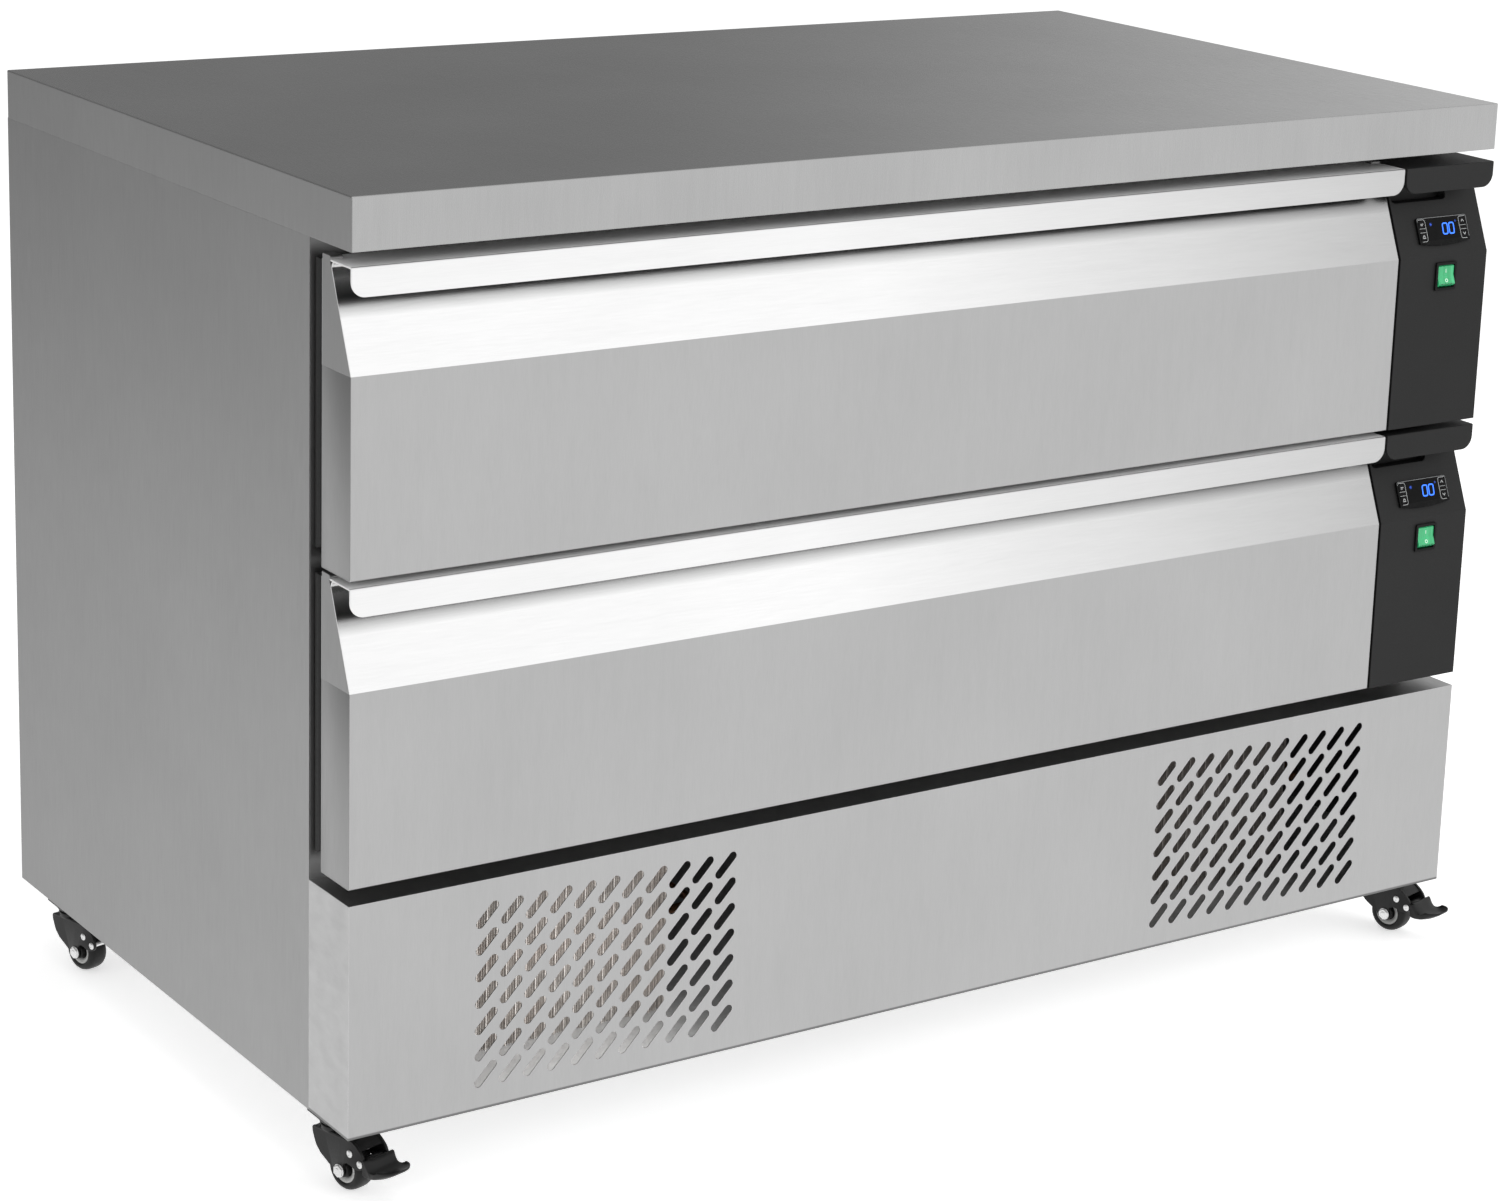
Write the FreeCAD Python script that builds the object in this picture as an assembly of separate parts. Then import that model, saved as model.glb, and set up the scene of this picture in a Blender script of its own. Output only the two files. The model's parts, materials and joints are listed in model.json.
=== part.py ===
import FreeCAD, Part
import math
import os

# Refrigerated counter with two wide drawers on four swivel castors.
# Millimetres, X to the right, Y from the front plane to the back, Z up from the floor.

# Overall size
width = 1245.0
depth = 700.0
height = 870.0
worktop_thickness = 45.0
castor_height = 66.0

# Sheet and wall thicknesses
skin = 1.0
worktop_sheet = 1.5
worktop_edge_radius = 1.2
handle_sheet = 1.5
plastic_wall = 3.0
core_cover = 1.0

# Gaps in the front, from the top down
worktop_gap = 12.0
drawer_gap = 6.0
base_gap = 14.0
console_gap = 3.0

# Drawer fronts and consoles share one profile; the base panel keeps its own height
base_height = 209.0
front_thickness = 51.0
carcass_setback = 73.0
break_drop = 89.0
slope_lean = 36.0
lip_height = 25.0
lip_corner = 13.0
handle_bend = 1.2
channel_fillet = 9.0
console_width = 114.5
end_cap_width = 11.0
end_cap_rise = 3.0
end_cap_depth = 15.0
end_cap_round = 2.5

# Insulated box
side_wall = 60.0
back_wall = 60.0
floor_wall = 60.0
gasket_width = 18.0
gasket_side_inset = 4.0
gasket_top_inset = 4.0
gasket_bottom_inset = 12.0
gasket_clearance = 0.3
gasket_groove_depth = 3.0
frame_land = 6.0
wiring_hole_radius = 12.0

# Bins and slides
bin_sheet = 1.5
bin_floor_gap = 12.0
bin_headroom = 33.0
bin_length = 520.0
bin_rim = 8.0
slide_length = 500.0
slide_space = 13.0
slide_height = 45.0
slide_sheet = 1.5
slide_play = 0.4
slide_travel = 500.0

# Base panel and its vents
vent_columns = 11
vent_rows = 7
vent_pitch_x = 24.0
vent_pitch_z = 24.2
vent_run = 14.0
vent_rise = 14.8
vent_width = 8.0
vent_side_margin = 120.0
pan_sheet = 1.5
pan_rim = 18.0
flange_width = 20.0
louvre_count = 9
louvre_length = 220.0
louvre_width = 5.0
louvre_pitch = 15.0
louvre_bottom = 108.0

# Thermostat
face_width = 66.0
face_height = 25.5
face_bulge = 3.0
face_thickness = 2.5
face_corner = 2.5
case_width = 58.0
case_height = 22.0
case_depth = 45.0
face_rise = 25.5
control_offset = 3.0
cutout_clearance = 0.3
key_width = 8.0
key_height = 7.0
key_thickness = 1.8
key_proud = 0.3
key_travel = 0.5
key_clearance = 0.3
key_edge_margin = 2.2
key_spread = 6.2
key_pocket = 3.2

# Rocker switch
switch_width = 27.0
switch_height = 28.0
switch_drop = 21.0
switch_rim = 2.0
switch_body_step = 1.5
switch_depth = 24.0
rocker_radius = 11.0
rocker_width = 21.0
rocker_clearance = 0.4
rocker_tilt = 10.0
rocker_pivot_depth = 4.0
rocker_pin_radius = 1.5
rocker_pin_play = 0.05
terminal_length = 8.0
terminal_width = 5.0
terminal_sheet = 0.8

# Console finger recess under its lip
recess_width = 74.0
recess_height = 13.0
recess_depth = 9.0
recess_wall = 2.0
recess_corner = 5.0

# Refrigeration
fin_sheet = 1.2
fin_pitch = 10.0
coil_tube_radius = 4.5
coil_end_sheet = 2.5
coil_tube_rows = 3
condenser_width = 250.0
condenser_height = 160.0
condenser_depth = 44.0
condenser_setback = 30.0
evaporator_headroom = 43.0
evaporator_depth = 38.0
evaporator_fan_gap = 140.0
evaporator_fan_inset = 255.0
evaporator_fan_rim = 14.0
unit_lift = 12.0
condenser_fan_radius = 66.0
fan_gap = 12.0
fan_clearance = 4.0
fan_ring_depth = 16.0
fan_margin = 8.0
shroud_sheet = 2.0
motor_radius = 26.0
motor_length = 30.0
motor_gap = 3.0
fan_shaft_radius = 3.0
fan_shaft_play = 0.05
fan_hub_radius = 17.0
fan_blades = 5
blade_sheet = 1.6
blade_pitch = 28.0
arm_width = 8.0
arm_sheet = 3.0
arm_count = 3
compressor_radius = 68.0
compressor_body = 90.0
compressor_dome = 26.0
compressor_foot = 10.0
compressor_foot_radius = 8.0
compressor_base = 70.0
compressor_base_sheet = 3.0
compressor_setback = 360.0
pipe_radius = 4.0
pipe_bend = 24.0
pipe_hole_play = 1.0
riser_bend = 16.0
riser_spacing = 34.0
riser_inset = 56.5
riser_count = 4
discharge_run = 72.0
pipe_weld_gap = 12.0
pipe_stack = 14.0

# Castors
castor_inset = 22.0
castor_front_setback = 60.0
castor_back_setback = 80.0
castor_yaw = 15.0
wheel_radius = 20.0
wheel_width = 20.0
tyre_round = 4.0
rim_radius = 13.0
rim_width = 15.0
web_width = 6.0
boss_radius = 7.0
castor_trail = 17.0
plate_side = 42.0
plate_sheet = 2.5
plate_corner = 4.0
plate_bolt_spacing = 31.0
plate_bolt_radius = 2.6
race_radius = 17.0
race_height = 6.5
race_chamfer = 1.6
race_gap = 0.3
kingpin_radius = 4.0
kingpin_head = 7.0
crown_height = 6.5
crown_radius = 16.0
fork_sheet = 2.5
fork_clearance = 2.5
fork_nose_rise = 10.0
fork_nose_reach = 5.0
fork_nose_drop = 7.5
fork_toe_half = 8.0
fork_toe_drop = 6.0
fork_heel = 9.6
axle_radius = 4.0
running_play = 0.05
axle_head_radius = 6.0
axle_head = 2.5
rivet_radius = 2.0
rivet_head_radius = 3.4
rivet_head = 1.4
near_rivet_forward = 13.5
near_rivet_up = 20.0
far_rivet_forward = 26.0
far_rivet_up = 14.0
pedal_reach = 62.0
pedal_width = 34.0
pedal_thickness = 3.0
pedal_boss = 5.0
pedal_side_play = 0.7
pedal_corner = 13.0
pedal_heel_rise = 7.0
pedal_heel_drop = 9.0
pedal_tip_rise = 1.5
pedal_scoop_drop = 3.0
pedal_belly_drop = 8.0
pad_gap = 0.7

# Fasteners and gland of the back panel
screw_head_radius = 4.5
screw_head_height = 2.2
screw_shank_radius = 2.0
screw_length = 10.0
screw_columns = 4
gland_sides = 6
gland_radius = 11.0
gland_dome_radius = 8.8
gland_length = 16.0
gland_bore = 4.5
gland_thread_radius = 8.0
gland_inset = 150.0
gland_height = 67.0

# Slack for comparing positions and directions
same = 1e-6

# Levels and planes that follow from the sizes above
left = -width / 2
right = width / 2
worktop_bottom = height - worktop_thickness
base_bottom = castor_height
base_top = base_bottom + base_height
upper_top = worktop_bottom - worktop_gap
front_height = (upper_top - drawer_gap - base_gap - base_top) / 2
lower_top = upper_top - front_height - drawer_gap
carcass_front = carcass_setback
back = depth
console_left = right - console_width
front_right = console_left - console_gap
foam_right = console_left - skin
opening_left = left + side_wall
opening_right = front_right - side_wall
liner_back = back - back_wall
bin_front = front_thickness
bin_left = opening_left + slide_space
bin_right = opening_right - slide_space
control_mid = (console_left + right) / 2 + control_offset
slope_angle = math.atan2(slope_lean, break_drop - handle_sheet)
opening_height = front_height - gasket_bottom_inset - gasket_top_inset - 2 * (gasket_width + frame_land)
bin_height = opening_height - bin_floor_gap - bin_headroom
evaporator_height = opening_height - unit_lift - evaporator_headroom
evaporator_fan_radius = evaporator_height / 2 - evaporator_fan_rim
evaporator_fan_x = opening_right - evaporator_fan_inset
evaporator_right = evaporator_fan_x - evaporator_fan_gap
evaporator_left = opening_left + riser_inset + riser_count * riser_spacing
evaporator_width = evaporator_right - evaporator_left
X_AXIS = FreeCAD.Vector(1, 0, 0)
Y_AXIS = FreeCAD.Vector(0, 1, 0)
Z_AXIS = FreeCAD.Vector(0, 0, 1)


def opening_bottom(top):
    """Lower edge of the compartment behind the front whose top edge is at this height."""
    return top - front_height + gasket_bottom_inset + gasket_width + frame_land


def opening_top(top):
    return top - gasket_top_inset - gasket_width - frame_land


def bin_bottom(top):
    return opening_bottom(top) + bin_floor_gap


insulated_floor = opening_bottom(lower_top) - floor_wall
machine_ceiling = insulated_floor - skin
machine_floor = base_bottom + pan_sheet


# Small building blocks

def vec(x, y, z):
    return FreeCAD.Vector(x, y, z)


def box(x0, x1, y0, y1, z0, z1):
    return Part.makeBox(x1 - x0, y1 - y0, z1 - z0, vec(x0, y0, z0))


def rod(radius, length, start, direction):
    return Part.makeCylinder(radius, length, start, direction)


def joined(shapes):
    """One solid out of shapes that meet."""
    first = shapes[0]
    if len(shapes) == 1:
        return first
    return first.fuse(shapes[1:]).removeSplitter()


def without(shape, cutters):
    return shape.cut(cutters) if cutters else shape


def outline_solid(points, direction):
    """Prism over a closed outline of straight edges."""
    face = Part.Face(Part.makePolygon(points + [points[0]]))
    return face.extrude(direction)


def side_prism(outline, x0, x1):
    """Prism along X over an outline of (y, z) points."""
    return outline_solid([vec(x0, y, z) for y, z in outline], vec(x1 - x0, 0, 0))


def rounded_plate(x0, x1, z0, z1, radius, y0, y1):
    """Upright plate with four round corners, its thickness along Y."""
    plate = box(x0, x1, y0, y1, z0, z1)
    corners = [e for e in plate.Edges if is_along(e, Y_AXIS)]
    return plate.makeFillet(radius, corners)


def is_along(edge, direction):
    """True for a straight edge that runs along the direction."""
    if edge.Curve.TypeId != "Part::GeomLine":
        return False
    run = edge.Curve.Direction
    return abs(abs(run.dot(direction)) - 1) < same


def shell_below(x0, x1, y0, y1, z0, z1, wall):
    """Box that is open at the bottom."""
    outer = box(x0, x1, y0, y1, z0, z1)
    inner = box(x0 + wall, x1 - wall, y0 + wall, y1 - wall, z0, z1 - wall)
    return outer.cut(inner)


def pipe_along(points, bend, radius):
    """Round tube rod along straight runs with tangent arcs at the corners."""
    edges = []
    start = points[0]
    for before, corner, after in zip(points, points[1:], points[2:]):
        run_in = (corner - before).normalize()
        run_out = (after - corner).normalize()
        turn = run_in.getAngle(run_out)
        back_off = bend * math.tan(turn / 2)
        arc_start = corner - run_in * back_off
        arc_end = corner + run_out * back_off
        inward = (run_out - run_in).normalize()
        middle = corner + inward * (bend / math.cos(turn / 2) - bend)
        edges.append(Part.LineSegment(start, arc_start).toShape())
        edges.append(Part.Arc(arc_start, middle, arc_end).toShape())
        start = arc_end
    edges.append(Part.LineSegment(start, points[-1]).toShape())
    path = Part.Wire(edges)
    ring = Part.Wire([Part.makeCircle(radius, points[0], (points[1] - points[0]))])
    return path.makePipeShell([ring], True, False)


# Drawer fronts

def slope_offset(inset, plate):
    """Points of the sloped face moved inward: the break and where it meets the handle plate."""
    normal_y = math.cos(slope_angle)
    normal_z = -math.sin(slope_angle)
    run_y = math.sin(slope_angle)
    run_z = math.cos(slope_angle)
    to_break = inset * (1 - normal_y) / run_y
    break_z = -break_drop + inset * normal_z + to_break * run_z
    top_z = -plate
    to_top = (top_z + break_drop - inset * normal_z) / run_z
    top_y = inset * normal_y + to_top * run_y
    return (inset, break_z), (top_y, top_z)


def profile_outline(back_y, inset, plate=handle_sheet):
    """Profile under the handle plate, heights counted from the top edge."""
    low_point, high_point = slope_offset(inset, plate)
    return [
        (inset, -front_height + inset),
        low_point,
        high_point,
        (back_y, -plate),
        (back_y, -front_height + inset),
    ]


def lifted(outline, level):
    return [(y, z + level) for y, z in outline]


def handle(top, x0, x1, back_y, sheet):
    """Handle plate and hanging lip, with round lower corners and a bent front edge."""
    plate = box(x0, x1, 0, back_y, top - sheet, top)
    lip = box(x0, x1, 0, sheet, top - lip_height, top)
    corners = [
        e for e in lip.Edges
        if is_along(e, Y_AXIS) and e.BoundBox.ZMin < top - lip_height / 2
    ]
    lip = lip.makeFillet(lip_corner, corners)
    whole = joined([plate, lip])
    bend = [
        e for e in whole.Edges
        if is_along(e, X_AXIS) and e.BoundBox.YMax < sheet / 4 and e.BoundBox.ZMin > top - sheet / 4
    ]
    return whole.makeFillet(handle_bend, bend)


def channel_web(top, x0, x1, plate):
    """Concave fillet under the handle plate, where the slope meets it."""
    under = top - plate
    corner_y = slope_lean - (plate - handle_sheet) * math.tan(slope_angle)
    opening = math.pi / 2 - slope_angle
    reach = channel_fillet / math.tan(opening / 2)
    on_plate = vec(x0, corner_y - reach, under)
    on_slope = vec(
        x0,
        corner_y - reach * math.sin(slope_angle),
        under - reach * math.cos(slope_angle),
    )
    corner = vec(x0, corner_y, under)
    outward = ((on_plate + on_slope) / 2 - corner).normalize()
    nearest = corner + outward * (channel_fillet / math.sin(opening / 2) - channel_fillet)
    arc = Part.Arc(on_plate, nearest, on_slope).toShape()
    wire = Part.Wire([
        Part.LineSegment(corner, on_plate).toShape(),
        arc,
        Part.LineSegment(on_slope, corner).toShape(),
    ])
    return Part.Face(wire).extrude(vec(x1 - x0, 0, 0))


def end_cap_notches(top):
    """Room in the handle plate for the raised tops of both end caps."""
    y0 = front_thickness - end_cap_depth
    low = top - handle_sheet
    return [
        box(left, left + end_cap_width, y0, front_thickness, low, top),
        box(front_right - end_cap_width, front_right, y0, front_thickness, low, top),
    ]


def inner_break(top):
    """Height of the break line on the inside of the front's skin."""
    return top + slope_offset(skin, handle_sheet)[0][1]


def drawer_skin(top):
    outer = side_prism(lifted(profile_outline(front_thickness, 0), top), left, front_right)
    inner = lifted(profile_outline(front_thickness, skin), top)
    cavity = side_prism(inner, left + skin, front_right - skin)
    end_room = side_prism(inner, left, front_right)
    above_break = box(left, front_right, 0, front_thickness, inner_break(top), top - handle_sheet)
    open_ends = end_room.common(above_break)
    body = outer.cut([cavity, open_ends])
    web = channel_web(top, left, front_right, handle_sheet)
    grip = handle(top, left, front_right, front_thickness, handle_sheet)
    return without(joined([body, web, grip]), end_cap_notches(top))


def end_cap(top, x0, x1):
    """Plug that closes the open end of the sloped part, with a raised top at the back."""
    inner = side_prism(lifted(profile_outline(front_thickness - core_cover, skin), top), x0, x1)
    plug = inner.common(box(x0, x1, 0, front_thickness, inner_break(top), top - handle_sheet))
    nub_front = front_thickness - end_cap_depth
    nub_back = front_thickness - core_cover
    nub = box(x0, x1, nub_front, nub_back, top - handle_sheet, top + end_cap_rise)
    edges = [
        e for e in nub.Edges
        if is_along(e, X_AXIS) and e.BoundBox.ZMin > top and e.BoundBox.YMax < nub_front + skin
    ]
    nub = nub.makeFillet(end_cap_round, edges)
    return joined([plug, nub])


def drawer_end_caps(top):
    return Part.makeCompound([
        end_cap(top, left, left + end_cap_width),
        end_cap(top, front_right - end_cap_width, front_right),
    ])


def drawer_foam(top):
    outline = lifted(profile_outline(front_thickness - core_cover, skin), top)
    block = side_prism(outline, left + skin, front_right - skin)
    break_z = inner_break(top)
    z1 = top + end_cap_rise
    ends = [
        box(left, left + end_cap_width, 0, front_thickness, break_z, z1),
        box(front_right - end_cap_width, front_right, 0, front_thickness, break_z, z1),
    ]
    return block.cut(ends)


def drawer_back_panel(top):
    """Inner panel; above the break it reaches over the end caps too."""
    y0 = front_thickness - core_cover
    z0 = top - front_height + skin
    break_z = inner_break(top)
    low = box(left + skin, front_right - skin, y0, front_thickness, z0, break_z)
    high = box(left, front_right, y0, front_thickness, break_z, top - handle_sheet)
    return joined([low, high])


def gasket(top):
    """Ring with a magnetic bead, a bellows groove round its outside and a flat foot."""
    x0 = left + gasket_side_inset
    x1 = front_right - gasket_side_inset
    z0 = top - front_height + gasket_bottom_inset
    z1 = top - gasket_top_inset
    y0 = front_thickness
    y1 = carcass_front - gasket_clearance
    w = gasket_width
    ring = box(x0, x1, y0, y1, z0, z1).cut(box(x0 + w, x1 - w, y0, y1, z0 + w, z1 - w))
    third = (y1 - y0) / 3
    notch = gasket_groove_depth
    groove = box(x0, x1, y0 + third, y1 - third, z0, z1)
    groove = groove.cut(box(x0 + notch, x1 - notch, y0, y1, z0 + notch, z1 - notch))
    return ring.cut(groove)


def drawer_bin(top):
    z0 = bin_bottom(top)
    z1 = z0 + bin_height
    y1 = bin_front + bin_length
    t = bin_sheet
    outer = box(bin_left, bin_right, bin_front, y1, z0, z1)
    inner = box(bin_left + t, bin_right - t, bin_front + t, y1 - t, z0 + t, z1)
    rim = box(bin_left, bin_right, bin_front, y1, z1 - t, z1)
    mouth = box(
        bin_left + bin_rim, bin_right - bin_rim,
        bin_front + bin_rim, y1 - bin_rim, z1 - t, z1,
    )
    return joined([outer.cut(inner), rim.cut(mouth)])


# Telescopic slides: three nested channels at each side of a bin

def slide_level(top):
    return bin_bottom(top) + bin_height / 2


def channel(x_web, x_open, half_height, y0, y1, level):
    """C channel with its web on one side in X and two flanges towards the other."""
    t = slide_sheet
    way = 1 if x_open > x_web else -1
    web = sorted([x_web, x_web + way * t])
    reach = sorted([x_web, x_open])
    return joined([
        box(web[0], web[1], y0, y1, level - half_height, level + half_height),
        box(reach[0], reach[1], y0, y1, level + half_height - t, level + half_height),
        box(reach[0], reach[1], y0, y1, level - half_height, level - half_height + t),
    ])


def slide_pair(top, wall_offset, open_offset, half_height):
    """The same member at the left and right wall; offsets count from the wall inwards."""
    y0 = carcass_front + skin
    y1 = y0 + slide_length
    level = slide_level(top)
    members = []
    for wall, way in ((opening_left, 1), (opening_right, -1)):
        x_web = wall + way * wall_offset
        x_open = wall + way * open_offset
        members.append(channel(x_web, x_open, half_height, y0, y1, level))
    return members


def outer_half():
    return slide_height / 2


def middle_half():
    return outer_half() - slide_sheet - slide_play


def inner_half():
    return middle_half() - slide_sheet - slide_play


def slide_outer(top):
    return slide_pair(top, 0, slide_space - slide_sheet - slide_play, outer_half())


def slide_middle(top):
    return Part.makeCompound(
        slide_pair(top, slide_sheet + slide_play, slide_space - slide_sheet - slide_play, middle_half())
    )


def slide_inner(top):
    return Part.makeCompound(
        slide_pair(top, slide_space, 2 * (slide_sheet + slide_play), inner_half())
    )


# Cabinet

def worktop_skin():
    shell = shell_below(left, right, 0, back, worktop_bottom, height, worktop_sheet)
    rim = [
        e for e in shell.Edges
        if e.BoundBox.ZMin > height - worktop_sheet / 2 or (is_along(e, Z_AXIS) and is_outer_corner(e))
    ]
    return shell.makeFillet(worktop_edge_radius, rim)


def is_outer_corner(edge):
    at = edge.BoundBox
    on_side = abs(abs(at.XMin) - right) < same
    on_end = abs(at.YMin) < same or abs(at.YMin - back) < same
    return on_side and on_end


def liner(top):
    z0 = opening_bottom(top)
    z1 = opening_top(top)
    y0 = carcass_front + skin
    inner = box(opening_left, opening_right, y0, liner_back, z0, z1)
    return liner_block(top).cut(inner)


def liner_block(top):
    """The space that a liner and all that is in it take out of the foam."""
    z0 = opening_bottom(top) - skin
    z1 = opening_top(top) + skin
    y0 = carcass_front + skin
    return box(opening_left - skin, opening_right + skin, y0, liner_back + skin, z0, z1)


def riser_holes():
    """Room for the refrigerant pipes where they rise through floor, foam and liners."""
    radius = pipe_radius + pipe_hole_play
    z0 = machine_ceiling
    z1 = opening_bottom(upper_top) + skin
    return [rod(radius, z1 - z0, vec(x, riser_y(), z0), Z_AXIS) for x in riser_places()]


def riser_places():
    """Two risers for each evaporator, side by side along its left end."""
    return [evaporator_left - (i + 1) * riser_spacing for i in range(riser_count)]


def riser_y():
    return liner_back - evaporator_depth / 2


def insulation_foam():
    y0 = carcass_front + skin
    y1 = back - 2 * skin
    cabinet = box(left + skin, foam_right, y0, y1, insulated_floor, worktop_bottom)
    hollows = [liner_block(top) for top in (upper_top, lower_top)]
    screw_room = screw_holes(back - screw_length, y1)
    cabinet = cabinet.cut(hollows + riser_holes() + screw_room)
    t = worktop_sheet
    worktop = box(left + t, right - t, t, back - t, worktop_bottom + skin, height - t)
    return Part.makeCompound([cabinet, worktop])


def inner_sheet_frame():
    """Front frame, wall of the wiring duct, floor of the insulated box, underside of the worktop."""
    x0 = left + skin
    x1 = right - skin
    y0 = carcass_front
    y1 = carcass_front + skin
    y2 = back - 2 * skin
    frame = box(x0, x1, y0, y1, machine_ceiling, worktop_bottom)
    mouths = []
    for top in (upper_top, lower_top):
        mouths.append(box(opening_left, opening_right, y0, y1, opening_bottom(top), opening_top(top)))
        wires = vec(control_mid, y0, top - front_height / 2)
        mouths.append(rod(wiring_hole_radius, skin, wires, Y_AXIS))
    partition = box(foam_right, console_left, y1, y2, insulated_floor, worktop_bottom)
    ceiling = box(x0, x1, y1, y2, machine_ceiling, insulated_floor)
    duct_hole = rod(wiring_hole_radius, skin, vec(control_mid, depth / 2, machine_ceiling), Z_AXIS)
    t = worktop_sheet
    underside = box(left + t, right - t, t, back - t, worktop_bottom, worktop_bottom + skin)
    return Part.makeCompound([
        frame.cut(mouths),
        partition,
        ceiling.cut(riser_holes() + [duct_hole]),
        underside,
    ])


def side_panels():
    panels = []
    holes = screw_holes(back - 2 * skin, back - skin)
    for outer, inner in ((left, left + skin), (right - skin, right)):
        sheet = box(outer, inner, carcass_front, back, base_bottom, worktop_bottom)
        toward = flange_width if outer == left else -flange_width
        edge = left + skin if outer == left else right - skin
        x = sorted([edge, edge + toward])
        z0 = base_bottom + pan_sheet + pan_rim
        flange = box(x[0], x[1], back - 2 * skin, back - skin, z0, worktop_bottom)
        panels.append(joined([sheet, flange]).cut(holes))
    return Part.makeCompound(panels)


def screw_holes(y0, y1):
    return [rod(screw_shank_radius, y1 - y0, vec(x, y0, z), Y_AXIS) for x, z in screw_places()]


def screw_places():
    """Two columns at the side flanges and a row along the floor pan's rim."""
    z_low = base_bottom + pan_sheet + pan_rim / 2
    z_first = z_low + flange_width
    z_last = worktop_bottom - flange_width
    side_x = [left + skin + flange_width / 2, right - skin - flange_width / 2]
    rise = (z_last - z_first) / screw_columns
    places = []
    for x in side_x:
        for i in range(screw_columns + 1):
            places.append((x, z_first + i * rise))
    run = (side_x[1] - side_x[0]) / (screw_columns + 1)
    for i in range(1, screw_columns + 1):
        places.append((side_x[0] + i * run, z_low))
    return places


def back_panel():
    y0 = back - skin
    sheet = box(left + skin, right - skin, y0, back, base_bottom, worktop_bottom)
    cutters = screw_holes(y0, back)
    for centre in unit_centres():
        for i in range(louvre_count):
            z = louvre_bottom + i * louvre_pitch
            half = louvre_length / 2
            x0 = centre - half
            x1 = centre + half
            cutters.append(rounded_slot(x0, x1, z, louvre_width / 2, y0, back))
    cutters.append(rod(gland_thread_radius, skin, vec(right - gland_inset, y0, gland_z()), Y_AXIS))
    return sheet.cut(cutters)


def rounded_slot(x0, x1, z, radius, y0, y1):
    """Level slot with round ends, through Y."""
    bar = box(x0, x1, y0, y1, z - radius, z + radius)
    ends = [rod(radius, y1 - y0, vec(x, y0, z), Y_AXIS) for x in (x0, x1)]
    return joined([bar] + ends)


def panel_screws():
    screws = []
    for x, z in screw_places():
        shank = rod(screw_shank_radius, screw_length, vec(x, back - screw_length, z), Y_AXIS)
        ball = (screw_head_radius ** 2 + screw_head_height ** 2) / (2 * screw_head_height)
        centre = vec(x, back + screw_head_height - ball, z)
        head = Part.makeSphere(ball, centre)
        slab = rod(screw_head_radius, screw_head_height, vec(x, back, z), Y_AXIS)
        screws.append(joined([shank, head.common(slab)]))
    return screws


def gland_z():
    return base_bottom + gland_height


def cord_gland():
    """Hexagonal body outside the back panel, threaded neck through it, bore for the lead."""
    at = vec(right - gland_inset, back, gland_z())
    corners = []
    for i in range(gland_sides):
        turn = 2 * math.pi * i / gland_sides
        corners.append(at + vec(gland_radius * math.cos(turn), 0, gland_radius * math.sin(turn)))
    nut = outline_solid(corners, vec(0, gland_length / 2, 0))
    dome = rod(gland_dome_radius, gland_length, at, Y_AXIS)
    neck = rod(gland_thread_radius, gland_length, at - vec(0, gland_length, 0), Y_AXIS)
    bore = rod(gland_bore, 2 * gland_length, at - vec(0, gland_length, 0), Y_AXIS)
    return joined([nut, dome, neck]).cut(bore)


def base_pan():
    t = pan_sheet
    x0 = left + skin
    x1 = right - skin
    y0 = skin
    y1 = back - skin
    z0 = base_bottom
    outer = box(x0, x1, y0, y1, z0, z0 + t + pan_rim)
    inner = box(x0 + t, x1 - t, y0 + t, y1 - t, z0 + t, z0 + t + pan_rim)
    tray = outer.cut(inner)
    holes = []
    for x, y in castor_places():
        for dx in (-plate_bolt_spacing / 2, plate_bolt_spacing / 2):
            for dy in (-plate_bolt_spacing / 2, plate_bolt_spacing / 2):
                holes.append(rod(plate_bolt_radius, t, vec(x + dx, y + dy, z0), Z_AXIS))
    return tray.cut(holes + screw_holes(back - screw_length, y1))


def vent_slot(x, z):
    """One slanted slot with round ends, centred at x, z."""
    turn = math.degrees(math.atan2(vent_rise, vent_run))
    half = math.hypot(vent_run, vent_rise) / 2
    slot = rounded_slot(-half, half, 0, vent_width / 2, -skin, 2 * skin)
    slot.rotate(vec(0, 0, 0), Y_AXIS, -turn)
    slot.translate(vec(x, 0, z))
    return slot


def vent_grid_width():
    return (vent_columns - 1) * vent_pitch_x + vent_run + vent_width


def unit_centres():
    """Middle of each vent grid, which is also the middle of the unit behind it."""
    half = vent_grid_width() / 2
    return [left + vent_side_margin + half, right - vent_side_margin - half]


def base_front_panel():
    front = box(left, right, 0, skin, base_bottom, base_top)
    sides = [
        box(left, left + skin, 0, carcass_front, base_bottom, base_top),
        box(right - skin, right, 0, carcass_front, base_bottom, base_top),
    ]
    cover = box(left, right, 0, carcass_front, base_top - skin, base_top)
    panel = joined([front, cover] + sides)
    middle = (base_bottom + base_top) / 2
    slots = []
    for centre in unit_centres():
        for row in range(vent_rows):
            for column in range(vent_columns):
                x = centre + (column - (vent_columns - 1) / 2) * vent_pitch_x
                z = middle + (row - (vent_rows - 1) / 2) * vent_pitch_z
                slots.append(vent_slot(x, z))
    return panel.cut(slots)


# Consoles with their thermostat and switch

def slope_placement(top):
    """Placement whose origin lies on the slope at the thermostat's centre, Y pointing inwards."""
    along_y = face_rise * math.sin(slope_angle)
    along_z = face_rise * math.cos(slope_angle)
    at = vec(control_mid, along_y, top - break_drop + along_z)
    lean = FreeCAD.Rotation(X_AXIS, -math.degrees(slope_angle))
    return FreeCAD.Placement(at, lean)


def placed(shape, placement):
    moved = shape.copy()
    moved.Placement = placement.multiply(moved.Placement)
    return moved


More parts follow.
